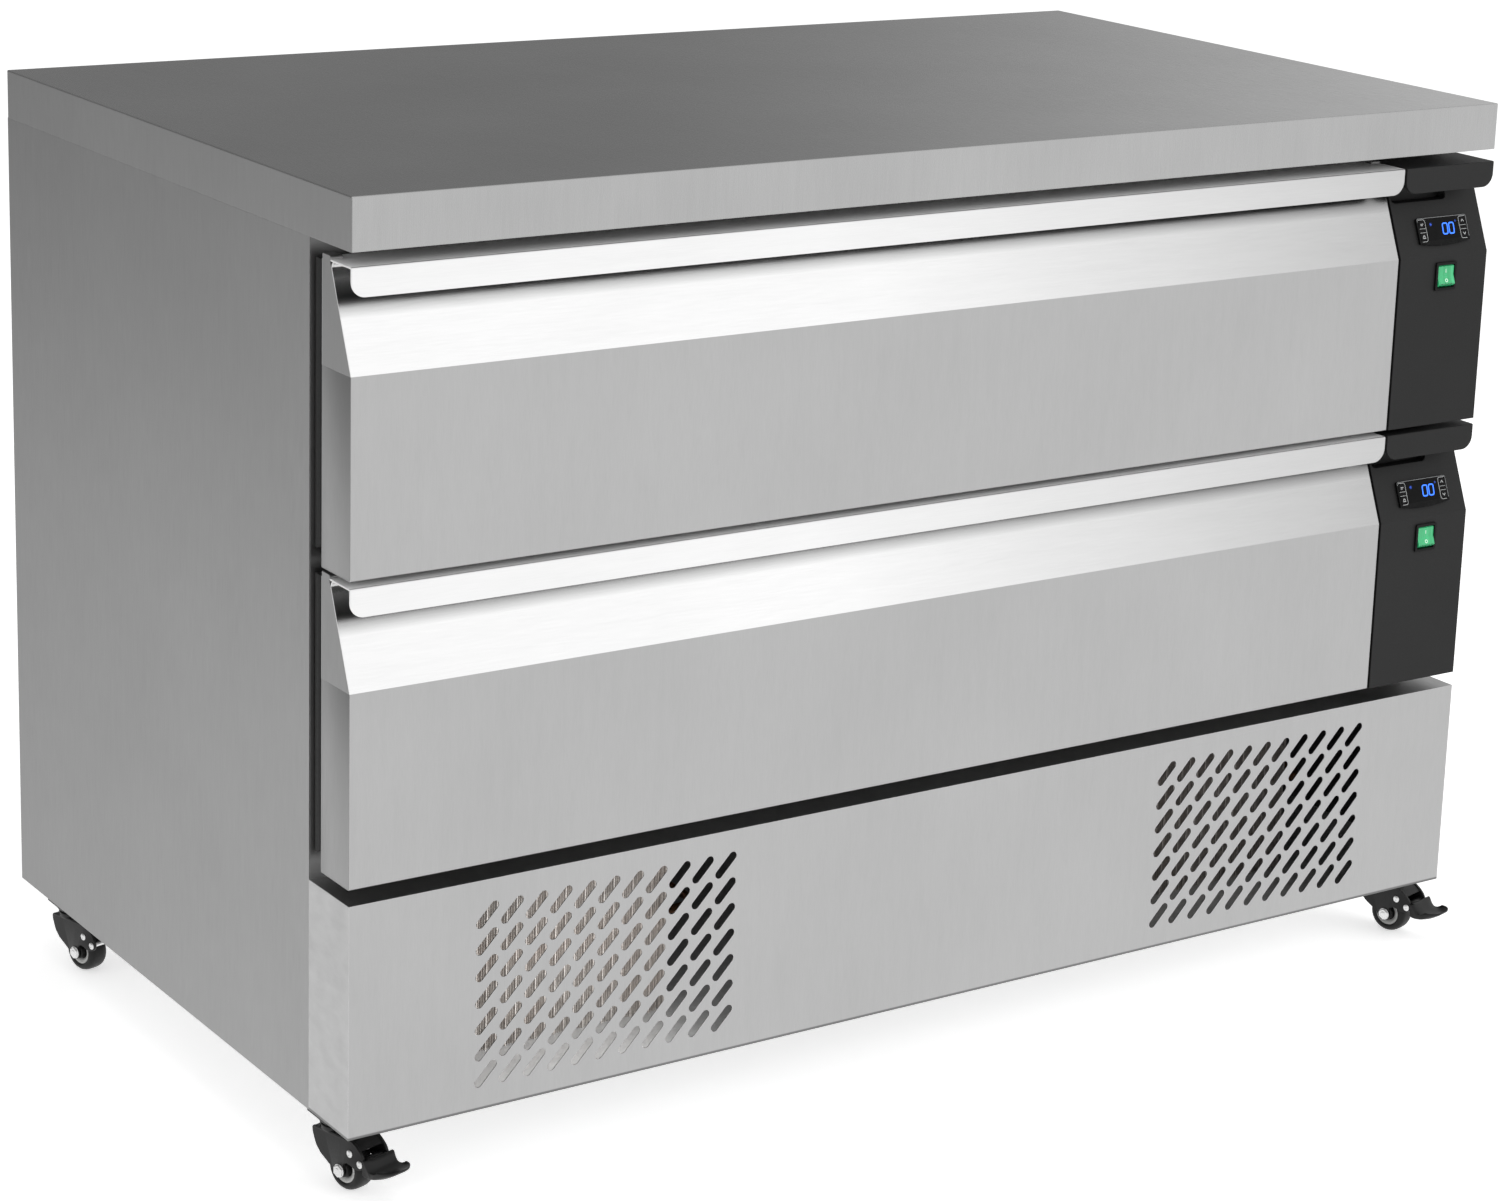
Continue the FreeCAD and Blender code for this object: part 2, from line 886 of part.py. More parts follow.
def console(top):
    """Moulded shell, open at the back, with its own lip and a finger recess under it."""
    t = plastic_wall
    outer = side_prism(lifted(profile_outline(carcass_front, 0), top), console_left, right)
    inner = lifted(profile_outline(carcass_front, t, t), top)
    shell = outer.cut(side_prism(inner, console_left + t, right - t))
    web = channel_web(top, console_left, right, t)
    grip = handle(top, console_left, right, carcass_front, t)
    body = joined([shell, web, grip, finger_recess_wall(top)])
    return body.cut([finger_recess(top), placed(thermostat_hole(), slope_placement(top)), switch_hole(top)])


def recess_centre(top):
    """Point on the slope at the middle of the finger recess, level with the lip's lower edge."""
    rise = break_drop - lip_height - recess_height / 2
    return rise * math.tan(slope_angle), top - break_drop + rise


def finger_recess(top):
    y, z = recess_centre(top)
    half = recess_height / 2
    x0 = console_left + recess_wall
    x1 = console_left + recess_width
    return rounded_plate(x0, x1, z - half, z + half, recess_corner, y - recess_depth, y + recess_depth)


def finger_recess_wall(top):
    y, z = recess_centre(top)
    half = recess_height / 2 + recess_wall
    x1 = console_left + recess_width + recess_wall
    block = box(console_left, x1, y - half, y + recess_depth + recess_wall, z - half, z + half)
    inside = side_prism(lifted(profile_outline(carcass_front, 0), top), console_left, right)
    return block.common(inside)


def thermostat_hole():
    c = cutout_clearance
    half_x = case_width / 2 + c
    half_z = case_height / 2 + c
    return box(-half_x, half_x, -plastic_wall, 3 * plastic_wall, -half_z, half_z)


def switch_centre(top):
    return top - break_drop - switch_drop


def switch_hole(top):
    c = cutout_clearance
    half_x = switch_width / 2 - switch_body_step + c
    half_z = switch_height / 2 - switch_body_step + c
    z = switch_centre(top)
    return box(
        control_mid - half_x, control_mid + half_x,
        -plastic_wall, 2 * plastic_wall, z - half_z, z + half_z,
    )


def thermostat_face():
    """Face plate with round upper corners and a lower edge that bows out."""
    half = face_width / 2
    low = -face_height / 2
    high = face_height / 2
    y0 = -face_thickness
    bow = Part.Arc(vec(-half, y0, low), vec(0, y0, low - face_bulge), vec(half, y0, low)).toShape()
    wire = Part.Wire([
        bow,
        Part.LineSegment(vec(half, y0, low), vec(half, y0, high)).toShape(),
        Part.LineSegment(vec(half, y0, high), vec(-half, y0, high)).toShape(),
        Part.LineSegment(vec(-half, y0, high), vec(-half, y0, low)).toShape(),
    ])
    plate = Part.Face(wire).extrude(vec(0, face_thickness, 0))
    upper = [e for e in plate.Edges if is_along(e, Y_AXIS) and e.BoundBox.ZMin > 0]
    return plate.makeFillet(face_corner, upper)


def key_places():
    """Centre of each key on the face: two down the left edge, two down the right."""
    x = face_width / 2 - key_edge_margin - key_width / 2
    return {
        "set": (-x, key_spread),
        "light": (-x, -key_spread),
        "up": (x, key_spread),
        "down": (x, -key_spread),
    }


def key_block(x, z, play, y0, y1):
    half_x = key_width / 2 + play
    half_z = key_height / 2 + play
    return box(x - half_x, x + half_x, y0, y1, z - half_z, z + half_z)


def thermostat():
    half_x = case_width / 2
    half_z = case_height / 2
    case = box(-half_x, half_x, 0, case_depth, -half_z, half_z)
    pockets = []
    for x, z in key_places().values():
        pockets.append(key_block(x, z, key_clearance, -face_thickness, key_pocket - face_thickness))
    return joined([thermostat_face(), case]).cut(pockets)


def key(name):
    x, z = key_places()[name]
    y0 = -face_thickness - key_proud
    return key_block(x, z, 0, y0, y0 + key_thickness)


def switch_housing(top):
    z = switch_centre(top)
    step = switch_body_step
    half_x = switch_width / 2
    half_z = switch_height / 2
    rim = rounded_plate(
        control_mid - half_x, control_mid + half_x, z - half_z, z + half_z, step, -switch_rim, 0,
    )
    body = box(
        control_mid - half_x + step, control_mid + half_x - step,
        0, switch_depth, z - half_z + step, z + half_z - step,
    )
    room_x = rocker_width / 2 + rocker_clearance
    room_z = rocker_radius + rocker_clearance
    room_back = rocker_pivot_depth + rocker_radius + rocker_clearance
    room = box(
        control_mid - room_x, control_mid + room_x,
        -switch_rim, room_back, z - room_z, z + room_z,
    )
    pin = rod(rocker_pin_radius, 2 * room_x, vec(control_mid - room_x, rocker_pivot_depth, z), X_AXIS)
    tabs = []
    for dx in (-half_x / 2, half_x / 2):
        for dz in (-half_z / 2, half_z / 2):
            x = control_mid + dx
            tabs.append(box(
                x - terminal_sheet / 2, x + terminal_sheet / 2,
                switch_depth, switch_depth + terminal_length,
                z + dz - terminal_width / 2, z + dz + terminal_width / 2,
            ))
    return joined([rim, body]).cut(room).fuse([pin] + tabs).removeSplitter()


def rocker(top):
    """Barrel cut to a shallow V front, resting with its upper half pressed in."""
    z = switch_centre(top)
    pivot = vec(control_mid, rocker_pivot_depth, z)
    half = rocker_width / 2
    barrel = rod(rocker_radius, rocker_width, pivot - vec(half, 0, 0), X_AXIS)
    reach = 2 * rocker_radius
    face_y = pivot.y - rocker_pivot_depth - switch_rim / 2
    tilt = math.tan(math.radians(rocker_tilt))
    front_cut = side_prism(
        [
            (face_y, z),
            (face_y - reach * tilt, z + reach),
            (face_y - reach, z + reach),
            (face_y - reach, z - reach),
            (face_y - reach * tilt, z - reach),
        ],
        control_mid - half, control_mid + half,
    )
    bore = rod(rocker_pin_radius + rocker_pin_play, rocker_width, pivot - vec(half, 0, 0), X_AXIS)
    shape = barrel.cut([front_cut, bore])
    shape.rotate(pivot, X_AXIS, -rocker_tilt)
    return shape


# Refrigeration

def coil(x_mid, y0, z0, coil_width, coil_height, coil_depth):
    """Finned coil: end plates, fins and straight tubes."""
    x0 = x_mid - coil_width / 2
    x1 = x_mid + coil_width / 2
    y1 = y0 + coil_depth
    z1 = z0 + coil_height
    plates = [
        box(x0, x0 + coil_end_sheet, y0, y1, z0, z1),
        box(x1 - coil_end_sheet, x1, y0, y1, z0, z1),
    ]
    count = int((coil_width - 2 * coil_end_sheet) / fin_pitch)
    for i in range(1, count):
        x = x0 + coil_end_sheet + i * fin_pitch
        plates.append(box(x, x + fin_sheet, y0, y1, z0, z1))
    tubes = []
    for row in range(coil_tube_rows):
        z = z0 + coil_height * (row + 1 / 2) / coil_tube_rows
        for y in (y0 + coil_depth / 4, y1 - coil_depth / 4):
            tubes.append(rod(coil_tube_radius, coil_width, vec(x0, y, z), X_AXIS))
    return tubes[0].fuse(tubes[1:] + plates)


def condensers():
    y0 = carcass_front + condenser_setback
    z0 = machine_floor
    return [
        coil(x, y0, z0, condenser_width, condenser_height, condenser_depth)
        for x in unit_centres()
    ]


def evaporators():
    y0 = liner_back - evaporator_depth
    x_mid = (evaporator_left + evaporator_right) / 2
    solids = []
    for top in (upper_top, lower_top):
        z0 = opening_bottom(top) + unit_lift
        solids.append(coil(x_mid, y0, z0, evaporator_width, evaporator_height, evaporator_depth))
    return solids


def fan_seats():
    """Name, centre on the shroud's front face and radius of every fan."""
    seats = []
    y = carcass_front + condenser_setback + condenser_depth + fan_gap
    for name, x in zip(("left_condenser", "right_condenser"), unit_centres()):
        z = machine_floor + condenser_height / 2
        seats.append((name, vec(x, y, z), condenser_fan_radius))
    y = liner_back - fan_ring_depth - motor_gap - motor_length
    for name, top in (("upper_evaporator", upper_top), ("lower_evaporator", lower_top)):
        z = opening_bottom(top) + unit_lift + evaporator_height / 2
        seats.append((name, vec(evaporator_fan_x, y, z), evaporator_fan_radius))
    return seats


def fan_motor(centre, radius):
    """Shroud with its ring, three arms, motor can and shaft, air flowing along Y."""
    outer = radius + fan_clearance + fan_margin
    bore = radius + fan_clearance
    x, y, z = centre
    plate = box(x - outer, x + outer, y, y + shroud_sheet, z - outer, z + outer)
    ring = rod(bore + shroud_sheet, fan_ring_depth, centre, Y_AXIS)
    hole = rod(bore, fan_ring_depth, centre, Y_AXIS)
    frame = joined([plate, ring]).cut(hole)
    arm_y = y + fan_ring_depth - arm_sheet
    arms = []
    for i in range(arm_count):
        arm = box(-arm_width / 2, arm_width / 2, 0, arm_sheet, 0, bore + shroud_sheet / 2)
        arm.rotate(vec(0, 0, 0), Y_AXIS, 360.0 * i / arm_count)
        arm.translate(vec(x, arm_y, z))
        arms.append(arm)
    can = rod(motor_radius, motor_length, vec(x, arm_y, z), Y_AXIS)
    can_back = [e for e in can.Edges if e.BoundBox.YMin > arm_y + motor_length / 2]
    can = can.makeFillet(motor_gap, can_back)
    shaft = rod(fan_shaft_radius, fan_ring_depth - arm_sheet, centre, Y_AXIS)
    return frame.fuse(arms + [can, shaft]).removeSplitter()


def fan_blade_depth():
    return fan_ring_depth - arm_sheet - motor_gap - blade_sheet


def fan_blades_of(centre, radius):
    """Hub on the shaft with flat pitched blades."""
    x, y, z = centre
    span = fan_blade_depth()
    start = vec(x, y + blade_sheet / 2, z)
    hub = rod(fan_hub_radius, span, start, Y_AXIS)
    chord = span / math.sin(math.radians(blade_pitch))
    envelope = rod(radius, span, start, Y_AXIS)
    blades = []
    for i in range(fan_blades):
        blade = box(
            -chord / 2, chord / 2, -blade_sheet / 2, blade_sheet / 2,
            fan_hub_radius / 2, radius + span,
        )
        blade.rotate(vec(0, 0, 0), Z_AXIS, blade_pitch)
        blade.rotate(vec(0, 0, 0), Y_AXIS, 360.0 * i / fan_blades)
        blade.translate(vec(x, start.y + span / 2, z))
        blades.append(blade.common(envelope))
    bore = rod(fan_shaft_radius + fan_shaft_play, span, start, Y_AXIS)
    return joined([hub] + blades).cut(bore)


def compressor(x_mid):
    """Welded pot with rounded ends on a plate with four rubber feet."""
    z0 = machine_floor + compressor_foot
    zb = z0 + compressor_base_sheet
    tall = compressor_body + compressor_dome
    pot = rod(compressor_radius, tall, vec(0, 0, zb), Z_AXIS)
    rims = [e for e in pot.Edges if e.Curve.TypeId == "Part::GeomCircle"]
    pot = pot.makeFillet(compressor_dome, rims)
    seam_low = vec(0, 0, weld_level() - compressor_base_sheet)
    weld = rod(compressor_radius + compressor_base_sheet, 2 * compressor_base_sheet, seam_low, Z_AXIS)
    b = compressor_base
    plate = box(-b, b, -b, b, z0, zb)
    feet = []
    for dx in (-1, 1):
        for dy in (-1, 1):
            at = vec(dx * (b - compressor_foot), dy * (b - compressor_foot), machine_floor)
            feet.append(rod(compressor_foot_radius, compressor_foot, at, Z_AXIS))
    whole = joined([pot, weld, plate] + feet)
    whole.translate(vec(x_mid, compressor_setback, 0))
    return whole


def compressors():
    return [compressor(x) for x in unit_centres()]


def weld_level():
    """Height of the seam round the middle of a compressor."""
    return machine_floor + compressor_foot + compressor_base_sheet + (compressor_body + compressor_dome) / 2


def refrigerant_pipes():
    """Discharge pipe of each unit, and a pair of risers to each evaporator."""
    pipes = []
    places = riser_places()
    for i, (x_mid, top, side) in enumerate(zip(unit_centres(), (lower_top, upper_top), (1, -1))):
        pipes.append(discharge_pipe(x_mid))
        for k in range(2):
            low = weld_level() + side * (pipe_weld_gap + k * pipe_stack)
            start = pot_back(x_mid, pipe_bend / 2 + k * pipe_bend, low)
            level = opening_bottom(top) + unit_lift + evaporator_height / 2 + (2 * k - 1) * pipe_bend
            end = vec(evaporator_left, riser_y(), level)
            pipes.append(riser(start, places[2 * i + k], end))
    pots = compressors()
    return [pipe.cut(pots) for pipe in pipes]


def pot_back(x_mid, offset, level):
    """Point at the back of a compressor's side, this far right of its middle."""
    reach = math.sqrt(compressor_radius ** 2 - offset ** 2)
    return vec(x_mid + offset, compressor_setback + reach, level)


def discharge_pipe(x_mid):
    """From the compressor's side round the fan to the end of the condenser."""
    coil_y = carcass_front + condenser_setback + condenser_depth / 2
    coil_x = x_mid + condenser_width / 2
    level = weld_level() + pipe_weld_gap + pipe_radius
    x_out = x_mid + compressor_radius + 2 * pipe_bend
    y_in = coil_y + discharge_run
    return pipe_along(
        [
            vec(x_mid + compressor_radius, compressor_setback, level),
            vec(x_out, compressor_setback, level),
            vec(x_out, y_in, level),
            vec(coil_x + 2 * pipe_bend, y_in, level),
            vec(coil_x + 2 * pipe_bend, coil_y, level),
            vec(coil_x, coil_y, level),
        ],
        pipe_bend,
        pipe_radius,
    )


def riser(start, x, end):
    """Tube from the pot, back to the rear wall, along it, up, and across into the evaporator."""
    points = [
        start,
        vec(start.x, riser_y(), start.z),
        vec(x, riser_y(), start.z),
        vec(x, riser_y(), end.z),
        end,
    ]
    return pipe_along(points, riser_bend, pipe_radius)


# Castors, modelled with the swivel axis at the origin, forward along -Y, then turned and placed

def castor_places():
    x = right - castor_inset
    y_front = castor_front_setback
    y_back = back - castor_back_setback
    return [(-x, y_front), (x, y_front), (-x, y_back), (x, y_back)]


castor_names = ("front_left", "front_right", "back_left", "back_right")


def castor_placed(shape, place):
    moved = shape.copy()
    moved.rotate(vec(0, 0, 0), Z_AXIS, castor_yaw)
    moved.translate(vec(place[0], place[1], 0))
    return moved


def crown_top():
    return castor_height - plate_sheet - race_height - race_gap


def fork_inner():
    return wheel_width / 2 + fork_clearance


def castor_plate(place):
    """Square plate with the upper race and the riveted kingpin; it doesn't turn."""
    x, y = place
    half = plate_side / 2
    plate = box(x - half, x + half, y - half, y + half, castor_height - plate_sheet, castor_height)
    plate = plate.makeFillet(plate_corner, [e for e in plate.Edges if is_along(e, Z_AXIS)])
    z_race = castor_height - plate_sheet - race_height
    race = rod(race_radius, race_height, vec(x, y, z_race), Z_AXIS)
    race = race.makeChamfer(race_chamfer, [e for e in race.Edges if e.BoundBox.ZMax < z_race + race_gap])
    head_top = crown_top() - crown_height - race_gap
    pin = rod(kingpin_radius, z_race - head_top, vec(x, y, head_top), Z_AXIS)
    head = rod(kingpin_head, plate_sheet, vec(x, y, head_top - plate_sheet), Z_AXIS)
    holes = []
    for dx in (-plate_bolt_spacing / 2, plate_bolt_spacing / 2):
        for dy in (-plate_bolt_spacing / 2, plate_bolt_spacing / 2):
            at = vec(x + dx, y + dy, castor_height - plate_sheet)
            holes.append(rod(plate_bolt_radius, plate_sheet, at, Z_AXIS))
    return joined([plate, race, pin, head]).cut(holes)


def castor_profile(points, thickness, v0):
    """Plate in the wheel's plane; points are (forward, up), thickness along the axle."""
    corners = [vec(v0, -u, z) for u, z in points]
    return outline_solid(corners, vec(thickness, 0, 0))


def fork():
    top = crown_top()
    low = top - crown_height
    crown = rod(crown_radius, crown_height, vec(0, 0, low), Z_AXIS)
    half = fork_inner() + fork_sheet
    far_u = castor_trail + far_rivet_forward
    far_z = wheel_radius + far_rivet_up
    near_u = castor_trail + near_rivet_forward
    near_z = wheel_radius + near_rivet_up
    roof = box(-half, half, -near_u, crown_radius, low, low + fork_sheet)
    side = [
        (-crown_radius, low + fork_sheet),
        (near_u, low + fork_sheet),
        (far_u, far_z + fork_nose_rise),
        (far_u + fork_nose_reach, far_z),
        (far_u - fork_nose_reach, far_z - fork_nose_drop),
        (castor_trail + fork_toe_half, wheel_radius - fork_toe_drop),
        (castor_trail - fork_toe_half, wheel_radius - fork_toe_drop),
        (-fork_heel, low - fork_heel),
    ]
    parts = [crown, roof]
    for v0 in (-half, fork_inner()):
        plate = castor_profile(side, fork_sheet, v0)
        corners = [e for e in plate.Edges if is_along(e, X_AXIS)]
        plate = plate.makeFillet(fork_sheet, corners)
        parts.append(plate)
    span = 2 * half
    for u, z, r, head_r, head in (
        (castor_trail, wheel_radius, axle_radius, axle_head_radius, axle_head),
        (near_u, near_z, rivet_radius, rivet_head_radius, rivet_head),
        (far_u, far_z, rivet_radius, rivet_head_radius, rivet_head),
    ):
        parts.append(rod(r, span, vec(-half, -u, z), X_AXIS))
        parts.append(rod(head_r, head, vec(-half - head, -u, z), X_AXIS))
        parts.append(rod(head_r, head, vec(half, -u, z), X_AXIS))
    hole = rod(kingpin_radius + running_play, crown_height, vec(0, 0, low), Z_AXIS)
    return joined(parts).cut(hole)


def wheel():
    """Hub and tyre as two solids round the axle."""
    at = vec(0, -castor_trail, wheel_radius)
    half = wheel_width / 2
    tyre = rod(wheel_radius, wheel_width, at - vec(half, 0, 0), X_AXIS)
    shoulders = [e for e in tyre.Edges if e.Curve.TypeId == "Part::GeomCircle"]
    tyre = tyre.makeFillet(tyre_round, shoulders)
    tyre = tyre.cut(rod(rim_radius, wheel_width, at - vec(half, 0, 0), X_AXIS))
    boss_half = fork_inner() - race_gap
    rim = rod(rim_radius, rim_width, at - vec(rim_width / 2, 0, 0), X_AXIS)
    side_room = (rim_width - web_width) / 2
    dishes = []
    for x in (-rim_width / 2, rim_width / 2 - side_room):
        dish = rod(rim_radius - fork_sheet, side_room, at + vec(x, 0, 0), X_AXIS)
        dishes.append(dish)
    boss = rod(boss_radius, 2 * boss_half, at - vec(boss_half, 0, 0), X_AXIS)
    bore = rod(axle_radius + running_play, 2 * boss_half, at - vec(boss_half, 0, 0), X_AXIS)
    hub = joined([rim.cut(dishes), boss]).cut(bore)
    return Part.makeCompound([hub, tyre])


def pedal():
    """Brake pedal on the far rivet: a pad that faces the tyre and a foot that flares forward."""
    pivot_u = castor_trail + far_rivet_forward
    pivot_z = wheel_radius + far_rivet_up
    tip_u = castor_trail + pedal_reach
    inner = fork_inner() - pedal_side_play
    half = pedal_width / 2
    boss = rod(pedal_boss, 2 * inner, vec(-inner, -pivot_u, pivot_z), X_AXIS)
    distance = math.hypot(far_rivet_forward, far_rivet_up)
    toward = vec(0, far_rivet_forward, -far_rivet_up).normalize()
    pad_length = distance - wheel_radius - pad_gap
    pad = box(-inner, inner, 0, pad_length, -pedal_boss / 2, pedal_boss / 2)
    pad.rotate(vec(0, 0, 0), X_AXIS, -math.degrees(math.atan2(far_rivet_up, far_rivet_forward)))
    pad.translate(vec(0, -pivot_u, pivot_z))
    tyre_room = rod(wheel_radius + pad_gap, 2 * inner, vec(-inner, -castor_trail, wheel_radius), X_AXIS)
    link_u = pivot_u + pedal_boss + fork_sheet
    link = castor_profile(
        [
            (pivot_u, pivot_z + pedal_boss),
            (link_u + pedal_thickness, pivot_z + pedal_boss),
            (link_u + pedal_thickness, pivot_z - pedal_boss),
            (pivot_u, pivot_z - pedal_boss),
        ],
        2 * inner, -inner,
    )
    foot = foot_solid(link_u, tip_u, pivot_z, half)
    bore = rod(rivet_radius + running_play, 2 * inner, vec(-inner, -pivot_u, pivot_z), X_AXIS)
    return joined([boss, pad, link, foot]).cut([bore, tyre_room])


def foot_solid(link_u, tip_u, level, half):
    """Foot of the pedal: a scooped top, a bellied underside and round front corners."""
    high = vec(-half, -link_u, level + pedal_heel_rise)
    low = vec(-half, -link_u, level - pedal_heel_drop)
    tip_top = vec(-half, -tip_u, level + pedal_tip_rise)
    tip_low = tip_top - vec(0, 0, pedal_thickness)
    middle_u = (link_u + tip_u) / 2
    scoop_middle = vec(-half, -middle_u + pedal_boss, level - pedal_scoop_drop)
    belly_middle = vec(-half, -middle_u, level - pedal_belly_drop)
    scoop = Part.Arc(high, scoop_middle, tip_top).toShape()
    belly = Part.Arc(tip_low, belly_middle, low).toShape()
    wire = Part.Wire([
        scoop,
        Part.LineSegment(tip_top, tip_low).toShape(),
        belly,
        Part.LineSegment(low, high).toShape(),
    ])
    block = Part.Face(wire).extrude(vec(2 * half, 0, 0))
    plan = box(-half, half, -tip_u, -link_u, level - pedal_reach, level + pedal_reach)
    front = [e for e in plan.Edges if is_along(e, Z_AXIS) and e.BoundBox.YMax < -middle_u]
    return block.common(plan.makeFillet(pedal_corner, front))


# Collecting the nodes

def drawer_nodes(prefix, top):
    return {
        f"{prefix}_drawer_skin": drawer_skin(top),
        f"{prefix}_drawer_end_caps": drawer_end_caps(top),
        f"{prefix}_drawer_foam": drawer_foam(top),
        f"{prefix}_drawer_back_panel": drawer_back_panel(top),
        f"{prefix}_gasket": gasket(top),
        f"{prefix}_bin": drawer_bin(top),
        f"{prefix}_slide_inner": slide_inner(top),
        f"{prefix}_slide_middle": slide_middle(top),
        f"{prefix}_rocker": rocker(top),
    }


def cabinet_nodes():
    tops = (upper_top, lower_top)
    return {
        "worktop_skin": worktop_skin(),
        "side_panels": side_panels(),
        "back_panel": back_panel(),
        "insulation_foam": insulation_foam(),
        "compartment_liners": Part.makeCompound([liner(t).cut(riser_holes()) for t in tops]),
        "inner_sheet_frame": inner_sheet_frame(),
        "base_pan": base_pan(),
        "base_front_panel": base_front_panel(),
        "consoles": Part.makeCompound([console(t) for t in tops]),
        "thermostats": Part.makeCompound([placed(thermostat(), slope_placement(t)) for t in tops]),
        "switch_housings": Part.makeCompound([switch_housing(t) for t in tops]),
        "compressors": Part.makeCompound(compressors()),
        "condensers": Part.makeCompound(condensers()),
        "fan_motors": Part.makeCompound([fan_motor(c, r) for _, c, r in fan_seats()]),
        "evaporators": Part.makeCompound(evaporators()),
        "refrigerant_pipes": Part.makeCompound(refrigerant_pipes()),
        "slide_outer_members": Part.makeCompound(slide_outer(upper_top) + slide_outer(lower_top)),
        "castor_plates": Part.makeCompound([castor_plate(p) for p in castor_places()]),
        "panel_screws": Part.makeCompound(panel_screws()),
        "cord_gland": cord_gland(),
    }


def moving_nodes():
    nodes = {}
    for prefix, top in (("upper", upper_top), ("lower", lower_top)):
        nodes.update(drawer_nodes(prefix, top))
        for name in key_places():
            nodes[f"{prefix}_key_{name}"] = placed(key(name), slope_placement(top))
    for name, centre, radius in fan_seats():
        nodes[f"{name}_blades"] = fan_blades_of(centre, radius)
    for name, place in zip(castor_names, castor_places()):
        nodes[f"{name}_fork"] = castor_placed(fork(), place)
        nodes[f"{name}_wheel"] = castor_placed(wheel(), place)
        if name.startswith("front"):
            nodes[f"{name}_pedal"] = castor_placed(pedal(), place)
    return nodes


def all_nodes():
    nodes = cabinet_nodes()
    nodes.update(moving_nodes())
    return nodes


def centring_shift(nodes):
    """Moves the object so that the origin is on the floor under the middle of its outer box."""
    boxes = [shape.optimalBoundingBox(False) for shape in nodes.values()]
    x_sum = min(b.XMin for b in boxes) + max(b.XMax for b in boxes)
    y_sum = min(b.YMin for b in boxes) + max(b.YMax for b in boxes)
    return vec(-x_sum / 2, -y_sum / 2, 0)


def main():
    os.makedirs("parts", exist_ok=True)
    nodes = all_nodes()
    shift = centring_shift(nodes)
    for name, shape in nodes.items():
        shape.translate(shift)
        shape.exportStep(f"parts/{name}.step")
    return nodes, shift


if __name__ == "__main__":
    main()
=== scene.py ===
import json
import math

import bmesh
import bpy
from mathutils import Matrix, Vector


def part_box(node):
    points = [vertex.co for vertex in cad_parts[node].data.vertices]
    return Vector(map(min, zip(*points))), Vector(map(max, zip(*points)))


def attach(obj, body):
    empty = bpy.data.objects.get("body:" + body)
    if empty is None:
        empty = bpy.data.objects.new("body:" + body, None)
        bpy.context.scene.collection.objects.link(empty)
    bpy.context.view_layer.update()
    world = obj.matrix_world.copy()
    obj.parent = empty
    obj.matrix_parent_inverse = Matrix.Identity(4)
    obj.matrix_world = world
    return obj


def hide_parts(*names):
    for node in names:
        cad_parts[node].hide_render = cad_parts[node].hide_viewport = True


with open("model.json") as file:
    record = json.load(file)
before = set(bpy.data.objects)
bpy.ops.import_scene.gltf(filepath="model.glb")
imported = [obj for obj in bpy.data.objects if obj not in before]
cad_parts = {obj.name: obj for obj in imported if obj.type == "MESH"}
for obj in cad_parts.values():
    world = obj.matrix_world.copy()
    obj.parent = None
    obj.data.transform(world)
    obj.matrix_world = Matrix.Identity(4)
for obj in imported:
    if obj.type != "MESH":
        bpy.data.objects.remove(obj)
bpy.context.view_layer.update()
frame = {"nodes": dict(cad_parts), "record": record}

MM = 0.001

# Planes and levels of the cabinet, read from the frame

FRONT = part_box("worktop_skin")[0][1]
SIDES = ("upper", "lower")
KEYS = ("set", "light", "up", "down")
FANS = ("left_condenser", "right_condenser", "upper_evaporator", "lower_evaporator")
FRONT_CASTORS = ("front_left", "front_right")
CASTORS = FRONT_CASTORS + ("back_left", "back_right")


def node_low(name):
    return Vector(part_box(name)[0])


def node_high(name):
    return Vector(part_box(name)[1])


def node_centre(name):
    return (node_low(name) + node_high(name)) / 2


# Camera of the photograph

CAMERA_AT = (-1.9446, -2.9078, 1.4085)
CAMERA_AZIMUTH = -35.271
CAMERA_ELEVATION = 14.021
CAMERA_ROLL = 2.190
CAMERA_LENS = 88.45
CAMERA_SHIFT = (-0.0708, -0.1138)
SENSOR = 36.0


def make_camera():
    data = bpy.data.cameras.new("camera")
    data.sensor_fit = "HORIZONTAL"
    data.sensor_width = SENSOR
    data.lens = CAMERA_LENS
    data.shift_x, data.shift_y = CAMERA_SHIFT
    data.clip_end = 60
    camera = bpy.data.objects.new("camera", data)
    bpy.context.scene.collection.objects.link(camera)
    azimuth = math.radians(CAMERA_AZIMUTH)
    elevation = math.radians(CAMERA_ELEVATION)
    back = Vector((
        math.sin(azimuth) * math.cos(elevation),
        -math.cos(azimuth) * math.cos(elevation),
        math.sin(elevation),
    ))
    right = Vector((0, 0, 1)).cross(back).normalized()
    up = back.cross(right)
    turn = Matrix((right, up, back)).transposed() @ Matrix.Rotation(math.radians(CAMERA_ROLL), 3, "Z")
    camera.matrix_world = Matrix.Translation(CAMERA_AT) @ turn.to_4x4()
    bpy.context.scene.camera = camera


# Node materials

